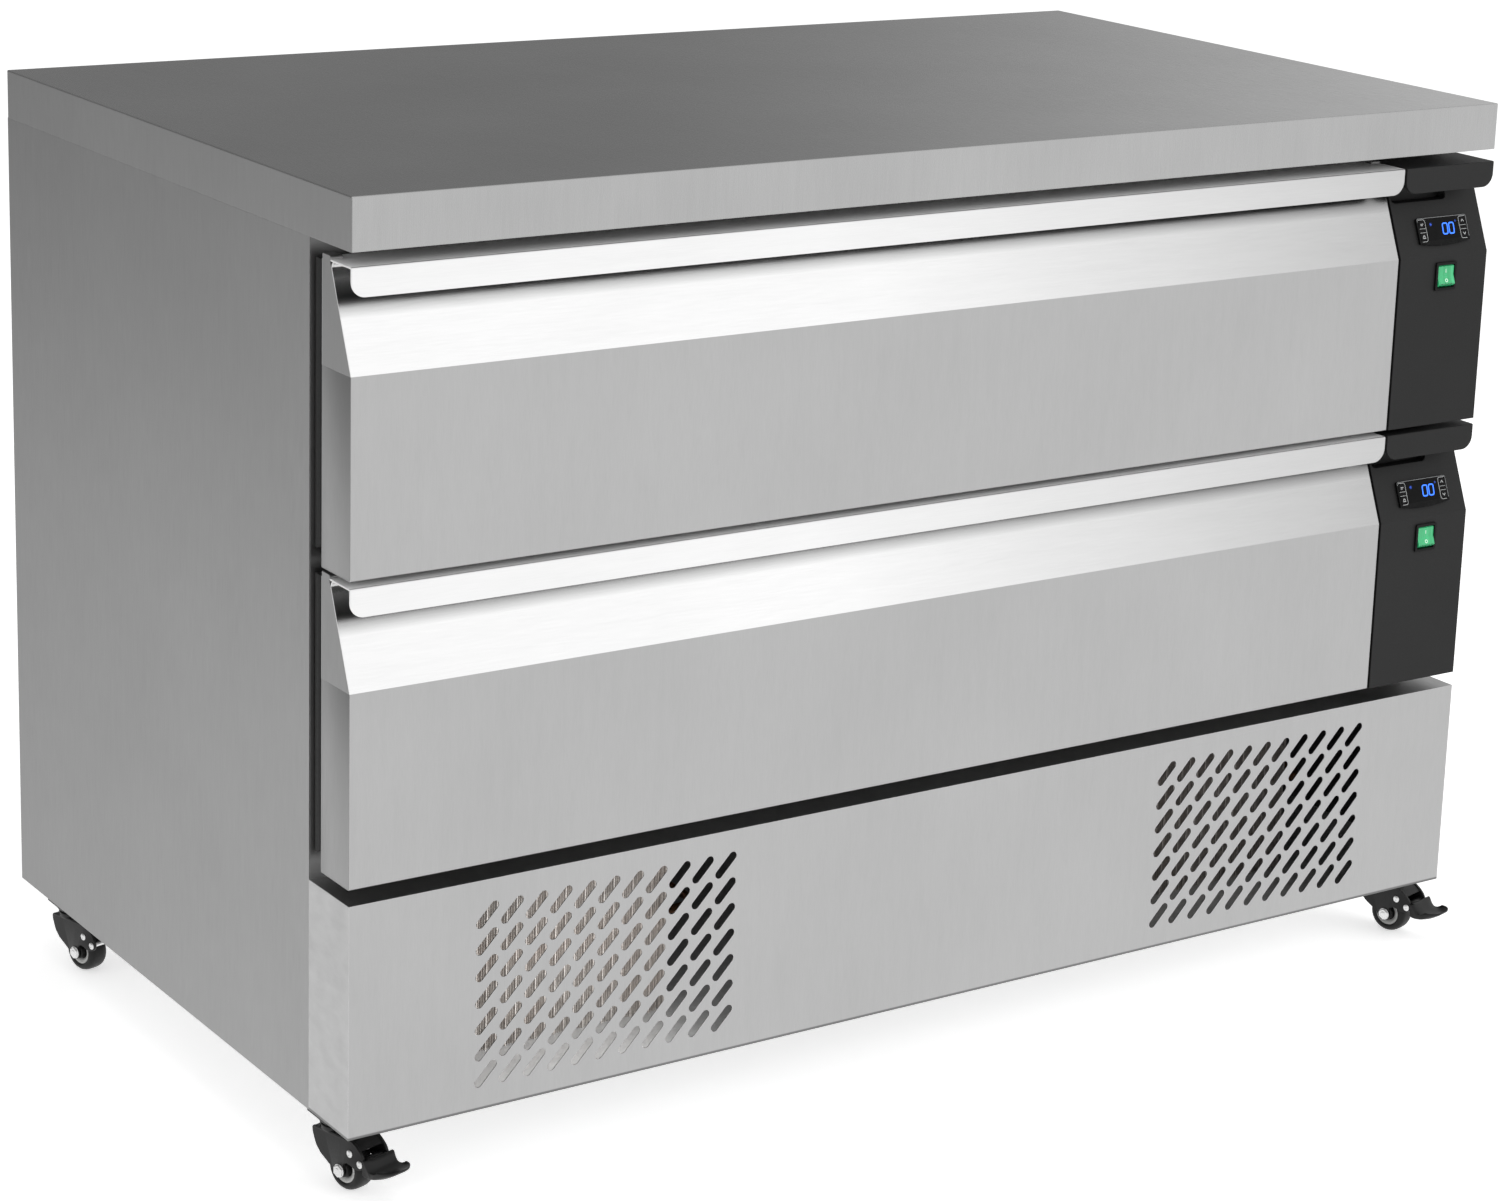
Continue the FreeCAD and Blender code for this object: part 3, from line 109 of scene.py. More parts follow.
class Shader:
    """A material's node tree with short calls for the nodes that it is made of."""

    def __init__(self, name, **values):
        self.material = bpy.data.materials.new(name)
        self.material.use_nodes = True
        self.tree = self.material.node_tree
        self.principled = next(n for n in self.tree.nodes if n.type == "BSDF_PRINCIPLED")
        self.output = next(n for n in self.tree.nodes if n.type == "OUTPUT_MATERIAL")
        for socket, value in values.items():
            self.set(socket, value)

    def set(self, socket, value):
        self.principled.inputs[socket.replace("_", " ")].default_value = value

    def add(self, kind, **inputs):
        node = self.tree.nodes.new(kind)
        for key, value in inputs.items():
            node.inputs[key.replace("_", " ")].default_value = value
        return node

    def link(self, source, target):
        self.tree.links.new(source, target)

    def coordinates(self, scale):
        """Object coordinates, stretched by a scale along each axis, per metre."""
        place = self.add("ShaderNodeTexCoord")
        mapping = self.add("ShaderNodeMapping")
        mapping.inputs["Scale"].default_value = scale
        self.link(place.outputs["Object"], mapping.inputs["Vector"])
        return mapping.outputs["Vector"]

    def noise(self, scale, detail=4.0, roughness=0.55, stretch=(1, 1, 1)):
        node = self.add("ShaderNodeTexNoise", Scale=scale, Detail=detail, Roughness=roughness)
        self.link(self.coordinates(stretch), node.inputs["Vector"])
        return node.outputs["Fac"]

    def spread(self, value, low, high, start=0.3, end=0.7):
        """Maps a noise value from start..end to low..high."""
        node = self.add("ShaderNodeMapRange")
        node.inputs["From Min"].default_value = start
        node.inputs["From Max"].default_value = end
        node.inputs["To Min"].default_value = low
        node.inputs["To Max"].default_value = high
        self.link(value, node.inputs["Value"])
        return node.outputs["Result"]

    def mix(self, factor, first, second):
        """Colour mix; first and second are colours or sockets."""
        node = self.add("ShaderNodeMix")
        node.data_type = "RGBA"
        self.feed(factor, node.inputs["Factor"])
        self.feed(first, node.inputs["A"], colour=True)
        self.feed(second, node.inputs["B"], colour=True)
        return node.outputs["Result"]

    def box_axis(self, axis):
        """Place along an axis of the piece's own box, from 0 to 1."""
        place = self.add("ShaderNodeTexCoord")
        split = self.add("ShaderNodeSeparateXYZ")
        self.link(place.outputs["Generated"], split.inputs["Vector"])
        return split.outputs[axis]

    def edge_turn(self, radius):
        """How far the rounded normal turns from the face's own, 0 on flat faces."""
        place = self.add("ShaderNodeNewGeometry")
        same = self.add("ShaderNodeVectorMath")
        same.operation = "DOT_PRODUCT"
        self.link(self.rounded(radius), same.inputs[0])
        self.link(place.outputs["True Normal"], same.inputs[1])
        turn = self.add("ShaderNodeMath")
        turn.operation = "SUBTRACT"
        turn.inputs[0].default_value = 1.0
        self.link(same.outputs["Value"], turn.inputs[1])
        return turn.outputs["Value"]

    def scaled(self, colour, factor):
        node = self.add("ShaderNodeVectorMath")
        node.operation = "SCALE"
        self.link(colour, node.inputs["Vector"])
        self.link(factor, node.inputs["Scale"])
        return node.outputs["Vector"]

    def feed(self, source, sockets, colour=False):
        if isinstance(source, bpy.types.NodeSocket):
            self.link(source, sockets)
        elif colour:
            sockets.default_value = (*source, 1.0) if len(source) == 3 else source
        else:
            sockets.default_value = source

    def colour(self, source):
        self.link(source, self.principled.inputs["Base Color"])

    def roughness(self, source):
        self.link(source, self.principled.inputs["Roughness"])

    def bump(self, height, strength, distance, edge=0.0):
        """Bump from a height; edge rounds sharp corners by that radius in metres."""
        node = self.add("ShaderNodeBump", Strength=strength, Distance=distance)
        self.link(height, node.inputs["Height"])
        if edge:
            self.link(self.rounded(edge), node.inputs["Normal"])
        self.link(node.outputs["Normal"], self.principled.inputs["Normal"])

    def rounded(self, radius):
        node = self.add("ShaderNodeBevel", Radius=radius)
        node.samples = 4
        return node.outputs["Normal"]


def grey(value):
    return (value, value, value)


def steel(name, tone, roughness=0.34, grain=(1, 1, 60), cloud=0.05, edge=0.0006, metallic=1.0, fade=(),
          edge_highlight_gain=0.0):
    """Satin stainless: brushed lines across the grain axis, faint clouds and handling marks.

    Each fade scales the tone along an axis of the piece's own box: axis, start, end, factor at start, at end.
    Fades and bright edges are shade painted to fit the photograph, and stay in every view and light.
    """
    s = Shader(name, Metallic=metallic)
    lines = s.noise(38, 5, 0.62, grain)
    clouds = s.noise(5.5, 3, 0.5)
    streaks = s.noise(9, 4, 0.6, tuple(1 + 0.2 * g for g in grain))
    low, high = (1 - cloud) * tone, (1 + cloud) * tone
    base = s.mix(s.spread(clouds, 0, 1), grey(low), grey(high))
    fine = s.mix(s.spread(lines, 0, 0.35), base, grey(tone * 0.86))
    shade = s.mix(s.spread(streaks, 0, 0.22), fine, grey(tone * 1.10))
    for axis, start, end, first, last in fade:
        shade = s.scaled(shade, s.spread(s.box_axis(axis), first, last, start, end))
    # Painted highlight: the tone rises where the rounded normal turns, along every edge.
    if edge_highlight_gain:
        shade = s.scaled(shade, s.spread(s.edge_turn(edge), 1.0, edge_highlight_gain, 0.02, 0.25))
    s.colour(shade)
    s.roughness(s.spread(lines, roughness - 0.05, roughness + 0.06))
    s.bump(lines, 0.06, 0.0003, edge)
    return s.material


def moulded(name, tone, roughness=0.5, scale=900, strength=0.12, edge=0.0008, tint=(1, 1, 1), sheen=0.5):
    """Moulded plastic with a fine spark grain and slightly worn edges."""
    s = Shader(name, Specular_IOR_Level=sheen)
    grain = s.noise(scale, 2, 0.5)
    patches = s.noise(7, 3, 0.5)
    dark = tuple(tone * c * 0.92 for c in tint)
    light = tuple(tone * c * 1.10 for c in tint)
    s.colour(s.mix(s.spread(patches, 0, 1), dark, light))
    s.roughness(s.spread(grain, roughness - 0.06, roughness + 0.06))
    s.bump(grain, strength, 0.0002, edge)
    return s.material


def make_materials():
    m = {}
    m["worktop"] = steel("worktop_steel", 0.46, 0.25, (60, 1, 1), 0.06)
    # Worktop ends: darker than the top, painted shade, and lighter towards the front, painted light.
    m["top_end"] = steel("worktop_end_steel_painted_shade", 0.33, 0.40, (1, 60, 1), 0.04, fade=[("Y", 0.0, 1.0, 1.16, 0.92)])
    # Drawer faces: a painted highlight along every edge.
    m["front"] = steel("front_steel_edge_highlight", 0.485, 0.36, (60, 1, 2), 0.03, 0.0008, edge_highlight_gain=1.3)
    # Sloped band: far brighter than the face of the same sheet, a painted highlight; darker to the right and in a band
    # under the lip, painted shade; lighter again at the top of the channel, painted light.
    m["slope"] = steel(
        "slope_steel_painted_light", 0.95, 0.20, (1, 60, 60), 0.02,
        fade=[("X", 0.45, 1.0, 1.0, 0.56), ("Z", 0.826, 0.890, 1.0, 0.20), ("Z", 0.895, 0.94, 1.0, 3.6)],
    )
    # Lip: near white, a painted highlight; darker towards the right, painted shade.
    m["lip"] = steel("lip_steel_painted_highlight", 0.92, 0.34, (1, 1, 60), 0.02, fade=[("X", 0.4, 1.0, 1.0, 0.66)])
    # Side panels: darker than the front, lighter towards the front and a little darker towards the top, all painted
    # shade.
    m["side"] = steel(
        "side_steel_painted_shade", 0.30, 0.40, (1, 60, 1), 0.04,
        fade=[("Y", 0.0, 1.0, 1.22, 0.96), ("Z", 0.5, 1.0, 1.0, 0.95)],
    )
    # Base front: a thin darker band along the bottom edge, painted shade, and a painted highlight along every edge and
    # vent slot.
    m["base"] = steel(
        "base_steel_painted_light", 0.49, 0.36, (60, 1, 2), 0.03, 0.0009, fade=[("Z", 0.008, 0.013, 0.42, 1.0)], edge_highlight_gain=1.55,
    )
    m["inner"] = steel("inner_steel", 0.42, 0.36, (1, 60, 60), 0.05)
    # Inner frame: nearly black at its front edge, painted shadow in the gap between side panel and seal.
    m["frame"] = steel("frame_steel_painted_shadow", 0.42, 0.36, (1, 60, 60), 0.05, fade=[("Y", 0.0, 0.02, 0.06, 1.0)])
    m["cap"] = steel("cap_steel", 0.36, 0.42, (1, 60, 1), 0.05)
    # Handle plate: near white and almost no metal, painted light where the worktop shades it.
    m["plate"] = steel("plate_steel_painted_light", 0.95, 0.40, (60, 1, 1), 0.03, metallic=0.05)
    m["inside"] = steel("lip_back_steel", 0.38, 0.42, (60, 1, 1), 0.05)
    # Cut ends of the front sheet: near white, a painted highlight.
    m["cut"] = steel("cut_edge_painted_highlight", 0.95, 0.30, (40, 40, 40), 0.02)
    m["console"] = moulded("console_plastic", 0.016, 0.55, sheen=0.25)
    m["black"] = moulded("black_plastic", 0.010, 0.42, sheen=0.3)
    m["switch"] = moulded("switch_plastic", 0.006, 0.35, sheen=0.15)
    m["castor"] = moulded("castor_nylon", 0.007, 0.34, 500, 0.2, sheen=0.3)
    m["seal"] = moulded("seal_rubber", 0.012, 0.55, 400, 0.2)
    m["foam"] = foam_material()
    m["zinc"] = zinc_material("zinc_sheet", 0.42)
    m["pan"] = zinc_material("zinc_pan", 0.62, 0.25)
    m["zinc_bright"] = zinc_material("zinc_steel", 0.55)
    m["pot"] = moulded("pot_enamel", 0.012, 0.22, 120, 0.08)
    m["fin"] = fin_material()
    m["copper"] = copper_material()
    m["fan_frame"] = moulded("fan_frame_paint", 0.16, 0.35, 300, 0.1)
    m["fan_blade"] = steel("fan_blade_aluminium", 0.55, 0.35, (40, 40, 1), 0.08)
    m["glass"] = glass_material("thermostat_face", 0.006, 0.14)
    m["window"] = glass_material("display_window", 0.0025, 0.07)
    m["green"] = green_material("green_lens", (0.008, 0.30, 0.10), (0.05, 0.55, 0.22), 0.22)
    m["green_dark"] = green_material("green_ribs", (0.006, 0.10, 0.04), (0.01, 0.22, 0.09), 0.05)
    m["rim"] = moulded("rim_nylon", 0.62, 0.4, 300, 0.1, tint=(1, 1, 0.98))
    m["tread"] = moulded("tread_rubber", 0.008, 0.5, 300, 0.3, sheen=0.3)
    m["bolt"] = steel("bolt_zinc", 0.75, 0.28, (30, 30, 30), 0.08)
    m["print"] = glow_material("printed_marks", (0.55, 0.56, 0.56), 0.0)
    # Grey line on the thermostat face's edges: a painted highlight, not print.
    m["painted_rim_light"] = glow_material("face_edge_painted_highlight", (0.30, 0.31, 0.31), 0.0)
    m["digits"] = glow_material("lit_digits", (0.03, 0.16, 0.95), 1.6)
    m["digits_dim"] = glow_material("lit_symbols", (0.02, 0.08, 0.55), 0.5)
    m["mark"] = glow_material("rocker_marks", (0.72, 0.95, 0.80), 0.15)
    return m


def fin_material():
    """Coil fins: dull aluminium with a little warm dust in patches."""
    s = Shader("fin_aluminium", Metallic=0.35)
    dust = s.noise(120, 5, 0.7)
    patches = s.noise(18, 3)
    base = s.mix(s.spread(dust, 0, 1), (0.42, 0.39, 0.36), (0.80, 0.77, 0.74))
    s.colour(s.mix(s.spread(patches, 0, 0.5), base, (0.60, 0.52, 0.47)))
    s.roughness(s.spread(dust, 0.45, 0.6))
    s.bump(dust, 0.3, 0.0004)
    return s.material


def foam_material():
    s = Shader("foam", Roughness=0.9)
    cells = s.noise(420, 4, 0.6)
    s.colour(s.mix(s.spread(cells, 0, 1), (0.72, 0.62, 0.38), (0.88, 0.80, 0.58)))
    s.bump(cells, 0.5, 0.001)
    return s.material


def zinc_material(name, tone, metallic=1.0):
    """Zinc plating: fine dull crystals over a grey metal."""
    s = Shader(name, Metallic=metallic)
    cells = s.add("ShaderNodeTexVoronoi", Scale=130.0)
    s.link(s.coordinates((1, 1, 1)), cells.inputs["Vector"])
    soft = s.noise(24, 4)
    split = s.add("ShaderNodeSeparateColor")
    s.link(cells.outputs["Color"], split.inputs["Color"])
    base = s.mix(s.spread(split.outputs["Red"], 0, 1, 0, 1), grey(tone * 0.92), grey(tone * 1.07))
    s.colour(s.mix(s.spread(soft, 0, 0.4), base, grey(tone)))
    s.roughness(s.spread(split.outputs["Green"], 0.38, 0.48, 0, 1))
    s.bump(soft, 0.08, 0.0004, 0.0005)
    return s.material


def copper_material():
    s = Shader("copper", Metallic=1.0)
    tarnish = s.noise(70, 5)
    s.colour(s.mix(s.spread(tarnish, 0, 1), (0.30, 0.12, 0.06), (0.72, 0.36, 0.20)))
    s.roughness(s.spread(tarnish, 0.25, 0.5))
    s.bump(tarnish, 0.1, 0.0004)
    return s.material


def glass_material(name, tone, roughness):
    """Black glossy plastic, with faint dust."""
    s = Shader(name, Specular_IOR_Level=0.10)
    dust = s.noise(260, 3)
    s.colour(s.mix(s.spread(dust, 0, 1), grey(0.6 * tone), grey(1.4 * tone)))
    s.roughness(s.spread(dust, 0.8 * roughness, 1.4 * roughness))
    s.bump(dust, 0.02, 0.0002, 0.0004)
    return s.material


def green_material(name, dark, light, glow):
    """Green lens lit from inside, with the ribs of its inner side showing as streaks."""
    s = Shader(name, Roughness=0.22)
    ribs = s.noise(260, 3, 0.6, (1, 0.05, 0.05))
    patches = s.noise(160, 2)
    base = s.mix(s.spread(ribs, 0, 1), dark, light)
    tone = s.mix(s.spread(patches, 0, 0.5), base, tuple((a + b) / 2 for a, b in zip(dark, light)))
    s.colour(tone)
    s.link(tone, s.principled.inputs["Emission Color"])
    s.set("Emission_Strength", glow)
    s.set("Coat_Weight", 0.5)
    s.bump(ribs, 0.1, 0.0003, 0.0005)
    return s.material


def glow_material(name, tone, strength):
    s = Shader(name, Roughness=0.4)
    flecks = s.noise(900, 2)
    shade = s.mix(s.spread(flecks, 0, 0.25), tone, tuple(0.8 * c for c in tone))
    s.colour(shade)
    if strength:
        s.link(shade, s.principled.inputs["Emission Color"])
        s.set("Emission_Strength", strength)
    return s.material


# Mesh helpers

def order_faces(bm):
    """Lists the faces by their vertices, so that the list is the same on each run."""
    bm.verts.index_update()
    for place, face in enumerate(sorted(bm.faces, key=lambda f: sorted(v.index for v in f.verts))):
        face.index = place
    bm.faces.sort()


def finish_mesh(name, bm, materials, body, smooth=30.0):
    """Turns a bmesh into a piece that rides on a body."""
    bmesh.ops.remove_doubles(bm, verts=bm.verts, dist=1e-7)
    bmesh.ops.recalc_face_normals(bm, faces=bm.faces)
    order_faces(bm)
    mesh = bpy.data.meshes.new(name)
    bm.to_mesh(mesh)
    bm.free()
    for material in materials if isinstance(materials, (list, tuple)) else [materials]:
        mesh.materials.append(material)
    mesh.shade_smooth()
    mesh.set_sharp_from_angle(angle=math.radians(smooth))
    piece = bpy.data.objects.new(name, mesh)
    bpy.context.scene.collection.objects.link(piece)
    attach(piece, body)
    return piece


def arc(centre, radius, start, end, count):
    """Points on an arc, angles in degrees from +first axis towards +second."""
    points = []
    for i in range(count + 1):
        angle = math.radians(start + (end - start) * i / count)
        points.append((centre[0] + radius * math.cos(angle), centre[1] + radius * math.sin(angle)))
    return points


def rounded_corners(points, radii, steps=5, closed=True):
    """Replaces corners of a 2D outline by arcs of the given radii."""
    result = []
    count = len(points)
    for i, (corner, radius) in enumerate(zip(points, radii)):
        if radius <= 0 or (not closed and i in (0, count - 1)):
            result.append(corner)
            continue
        here = Vector(corner)
        to_last = (Vector(points[i - 1]) - here).normalized()
        to_next = (Vector(points[(i + 1) % count]) - here).normalized()
        half = to_last.angle(to_next) / 2
        reach = radius / math.tan(half)
        centre = here + (to_last + to_next).normalized() * (radius / math.sin(half))
        first = here + to_last * reach - centre
        last = here + to_next * reach - centre
        turn = first.angle_signed(last)
        for k in range(steps + 1):
            angle = -turn * k / steps
            c, s = math.cos(angle), math.sin(angle)
            result.append((centre.x + first.x * c - first.y * s, centre.y + first.x * s + first.y * c))
    return result


def thickened(path, thickness):
    """Closed outline of a sheet: the path and its offset to the left by the thickness."""
    offset = []
    for i, point in enumerate(path):
        here = Vector(point)
        ahead = Vector(path[min(i + 1, len(path) - 1)]) - Vector(path[max(i - 1, 0)])
        normal = Vector((-ahead.y, ahead.x)).normalized()
        if 0 < i < len(path) - 1:
            run = (Vector(path[i + 1]) - here).normalized()
            side = Vector((-run.y, run.x))
            normal = normal / max(normal.dot(side), 0.3)
        offset.append(tuple(here + normal * thickness))
    return list(path) + offset[::-1]


def add_columns(bm, columns, cap_material=0, closed_ends=True):
    """Skin over loops of points with the same count, one loop after another."""
    rings = [[bm.verts.new(p) for p in loop] for loop in columns]
    for ring, following in zip(rings, rings[1:]):
        for i in range(len(ring)):
            k = (i + 1) % len(ring)
            bm.faces.new((ring[i], ring[k], following[k], following[i]))
    if closed_ends:
        for ring in (rings[0][::-1], rings[-1]):
            bm.faces.new(ring).material_index = cap_material


def add_sheet(bm, path, thickness, x0, x1):
    """Folded sheet along X: a (y, z) path thickened to its left, its ends closed by a strip of quads."""
    outline = thickened(path, thickness)
    half = len(path)
    rings = [[bm.verts.new((x, y, z)) for y, z in outline] for x in (x0, x1)]
    count = len(outline)
    for i in range(count):
        k = (i + 1) % count
        bm.faces.new((rings[0][i], rings[0][k], rings[1][k], rings[1][i]))
    for ring in rings:
        for i in range(half - 1):
            bm.faces.new((ring[i], ring[i + 1], ring[count - 2 - i], ring[count - 1 - i]))
    bm.normal_update()


def add_block(bm, low, high, bevel=0.0):
    """Box between two corners with rounded edges."""
    made = bmesh.ops.create_cube(bm, size=1.0)["verts"]
    low, high = Vector(low), Vector(high)
    size = high - low
    for v in made:
        v.co = low + Vector(((v.co.x + 0.5) * size.x, (v.co.y + 0.5) * size.y, (v.co.z + 0.5) * size.z))
    if bevel:
        edges = list(dict.fromkeys(e for v in made for e in v.link_edges))
        bmesh.ops.bevel(bm, geom=edges, offset=bevel, segments=2, profile=0.5, affect="EDGES")


def ring_loop(centre, axis, across, radius, count):
    """Circle of points round an axis."""
    axis, across = Vector(axis).normalized(), Vector(across).normalized()
    third = axis.cross(across)
    loop = []
    for i in range(count):
        angle = 2 * math.pi * i / count
        loop.append(Vector(centre) + radius * (math.cos(angle) * across + math.sin(angle) * third))
    return loop


def add_turned(bm, start, axis, profile, count=48, material_of=None):
    """Turned solid: profile is (distance along the axis, radius) from one closed end to the other."""
    start, axis = Vector(start), Vector(axis).normalized()
    across = axis.orthogonal()
    rings = []
    for along, radius in profile:
        centre = start + axis * along
        rings.append([bm.verts.new(p) for p in ring_loop(centre, axis, across, max(radius, 1e-6), count)])
    for k, (ring, following) in enumerate(zip(rings, rings[1:])):
        for i in range(count):
            j = (i + 1) % count
            face = bm.faces.new((ring[i], ring[j], following[j], following[i]))
            if material_of:
                face.material_index = material_of[k]
    for ring in (rings[0], rings[-1]):
        bm.faces.new(ring)


def add_tube(bm, points, radius, count=12, closed=False):
    """Round tube through points."""
    points = [Vector(p) for p in points]
    last = len(points) - 1
    across = None
    rings = []
    for i, point in enumerate(points):
        if closed:
            ahead = points[(i + 1) % len(points)] - points[i - 1]
        else:
            ahead = points[min(i + 1, last)] - points[max(i - 1, 0)]
        ahead.normalize()
        if across is None:
            across = ahead.orthogonal().normalized()
        across = (across - ahead * across.dot(ahead)).normalized()
        rings.append([bm.verts.new(p) for p in ring_loop(point, ahead, across, radius, count)])
    pairs = list(zip(rings, rings[1:] + ([rings[0]] if closed else [])))
    for ring, following in pairs[: len(rings) if closed else last]:
        for i in range(count):
            k = (i + 1) % count
            bm.faces.new((ring[i], ring[k], following[k], following[i]))
    if not closed:
        bm.faces.new(rings[0][::-1])
        bm.faces.new(rings[-1])


def paint(name, *materials):
    """Gives a carried-over CAD node its finished material."""
    mesh = frame["nodes"][name].data
    mesh.materials.clear()
    for material in materials:
        mesh.materials.append(material)


# Drawer fronts

FRONT_THICKNESS = 51 * MM
BREAK_DROP = 89 * MM
SLOPE_LEAN = 36 * MM
SHEET = 1.0 * MM
GRIP_SHEET = 1.5 * MM
LIP_HEIGHT = 25 * MM
LIP_CORNER = 13 * MM
BEND = 1.6 * MM
BREAK_BEND = 0.8 * MM
CHANNEL = 5 * MM
CAP_WIDTH = 11 * MM
CAP_DEPTH = 15 * MM
TOUCH = 0.05 * MM


def front_levels(side):
    low, high = node_low(f"{side}_drawer_skin"), node_high(f"{side}_drawer_skin")
    return low.x, high.x, low.z, high.z


def front_sheet(side, m):
    """Folded face, sloped band and the concave channel under the handle plate, with its side walls."""
    x0, x1, bottom, top = front_levels(side)
    brk = top - BREAK_DROP
    under = top - GRIP_SHEET
    corners = [
        (FRONT + FRONT_THICKNESS, bottom),
        (FRONT, bottom),
        (FRONT, brk),
        (FRONT + SLOPE_LEAN, under - TOUCH),
        (FRONT + 3 * GRIP_SHEET, under - TOUCH),
    ]
    path = rounded_corners(corners, [0, BEND, BREAK_BEND, CHANNEL, 0], 8, closed=False)[::-1]
    bm = bmesh.new()
    add_sheet(bm, path, SHEET, x0 + TOUCH, x1 - TOUCH)
    # The slope band and the sheet's cut ends above the break take steels with painted light and shade; the ends below
    # the break take the end cap steel.
    for face in bm.faces:
        centre = face.calc_center_median()
        on_end = abs(face.normal.x) > 0.5
        if on_end:
            face.material_index = 2 if centre.z > brk else 3
        elif centre.z > brk + TOUCH:
            face.material_index = 1
    for edge, inward in ((x0, 1), (x1, -1)):
        xs = sorted((edge, edge + inward * SHEET))
        before = set(bm.faces)
        add_block(
            bm, (xs[0], FRONT + SHEET, bottom + SHEET),
            (xs[1], FRONT + FRONT_THICKNESS, brk - TOUCH), 0.2 * SHEET,
        )
        for face in set(bm.faces) - before:
            face.material_index = 3
    return finish_mesh(f"{side}_front_sheet", bm, [m["front"], m["slope"], m["cut"], m["cap"]], f"{side}_drawer", 35)


def grip_sheet(side, m):
    """Handle plate folded down into the hanging lip, with round lower corners and room for the end caps."""
    x0, x1, bottom, top = front_levels(side)
    t = GRIP_SHEET
    edge = 0.35 * MM
    steps = 12
    offsets = [LIP_CORNER * (1 - math.cos(math.pi / 2 * i / steps)) for i in range(steps + 1)]
    offsets += [CAP_WIDTH, CAP_WIDTH + TOUCH / 10]
    offsets.sort()
    xs = [x0 + d for d in offsets] + [x1 - d for d in offsets[::-1]]
    columns = []
    for x in xs:
        inset = min(x - x0, x1 - x)
        rise = 0.0
        if inset < LIP_CORNER:
            rise = LIP_CORNER - math.sqrt(max(LIP_CORNER ** 2 - (LIP_CORNER - inset) ** 2, 0))
        tip = top - LIP_HEIGHT + rise
        back_y = FRONT + FRONT_THICKNESS - (CAP_DEPTH if inset <= CAP_WIDTH + TOUCH / 100 else 0)
        outline = [
            (back_y, top), (FRONT, top), (FRONT, tip), (FRONT + t, tip),
            (FRONT + t, top - t), (back_y, top - t),
        ]
        loop = rounded_corners(outline, [edge, BEND, edge, edge, edge, edge], 4)
        columns.append([(x, y, z) for y, z in loop])
    bm = bmesh.new()
    add_columns(bm, columns)
    # The lip's front takes a steel with a painted highlight, and the handle plate one with painted light.
    for face in bm.faces:
        centre = face.calc_center_median()
        if centre.y > FRONT + 2 * BEND:
            face.material_index = 1
        elif centre.y > FRONT + 0.9 * t and centre.z < top - t:
            face.material_index = 2
    return finish_mesh(
        f"{side}_grip_sheet", bm, [m["lip"], m["plate"], m["inside"]], f"{side}_drawer", 40,
    )


def make_fronts(m):
    for side in SIDES:
        for piece in (front_sheet(side, m), grip_sheet(side, m)):
            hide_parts(f"{side}_drawer_skin")


# Seals

SEAL_WIDTH = 18 * MM


def make_seals(m):
    """Bellows seal round the back of each front: flat foot, soft fold and rounded magnet bead."""
    for side in SIDES:
        low, high = node_low(f"{side}_gasket"), node_high(f"{side}_gasket")
        y0, deep = low.y, high.y - low.y
        outer = [(0, 0), (0, 0.10), (0.22, 0.16), (0.10, 0.24), (0.03, 0.34), (0.12, 0.44), (0.24, 0.52),
                 (0.10, 0.58), (0.02, 0.66), (0, 0.74), (0.01, 0.90), (0.06, 0.97), (0.12, 1.0)]
        profile = [(s * SEAL_WIDTH, y0 + y * deep) for s, y in outer]
        profile += [(SEAL_WIDTH - s, y) for s, y in profile[::-1]]
        corner_loops = []
        for cx, cz, sx, sz in (
            (low.x, low.z, 1, 1), (high.x, low.z, -1, 1), (high.x, high.z, -1, -1), (low.x, high.z, 1, -1),
        ):
            corner_loops.append([(cx + sx * s, y, cz + sz * s) for s, y in profile])
        bm = bmesh.new()
        add_columns(bm, corner_loops + corner_loops[:1], closed_ends=False)
        piece = finish_mesh(f"{side}_bellows_seal", bm, m["seal"], f"{side}_drawer", 50)
        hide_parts(f"{side}_gasket")


# Thermostat faces

KEY_PROUD = 0.3 * MM
KEY_THICKNESS = 1.8 * MM
SLOPE_ANGLE = math.atan2(SLOPE_LEAN, BREAK_DROP - GRIP_SHEET)
PRINT = 0.05 * MM


class FacePlane:
    """Places a sketch in millimetres (u right, w up) on a sloped plane, with thickness outward."""

    def __init__(self, origin, angle):
        self.origin = Vector(origin)
        self.up = Vector((0, math.sin(angle), math.cos(angle)))
        self.out = Vector((0, -math.cos(angle), math.sin(angle)))

    def at(self, u, w, lift):
        return self.origin + Vector((u * MM, 0, 0)) + self.up * (w * MM) + self.out * lift


def thermostat_plane(side):
    """Plane of the thermostat's outer face, from the places of its four keys."""
    middle = sum((node_centre(f"{side}_key_{k}") for k in KEYS), Vector()) / len(KEYS)
    plane = FacePlane(middle, SLOPE_ANGLE)
    plane.origin += plane.out * (KEY_THICKNESS / 2 - KEY_PROUD)
    return plane


def add_ribbon(bm, plane, path, width, low, high, closed=False):
    """Raised line of even width along a sketch path in millimetres."""
    points = [Vector(p) for p in path]
    count = len(points)
    loops = []
    for i, here in enumerate(points):
        before = points[i - 1] if closed or i else here
        after = points[(i + 1) % count] if closed or i < count - 1 else here
        run_in = (here - before).normalized() if here != before else (after - here).normalized()
        run_out = (after - here).normalized() if after != here else run_in
        side = Vector((-(run_in.y + run_out.y), run_in.x + run_out.x)).normalized()
        reach = width / 2 / max(side.dot(Vector((-run_in.y, run_in.x))), 0.5)
        a, b = here + side * reach, here - side * reach
        corners = ((a, low), (b, low), (b, high), (a, high))
        loops.append([plane.at(spot.x, spot.y, lift) for spot, lift in corners])
    if closed:
        loops.append(loops[0])
    add_columns(bm, loops, closed_ends=not closed)


def add_patch(bm, plane, outline, low, high):
    """Raised flat patch over a closed convex sketch in millimetres."""
    add_columns(bm, [[plane.at(u, w, lift) for u, w in outline] for lift in (low, high)])


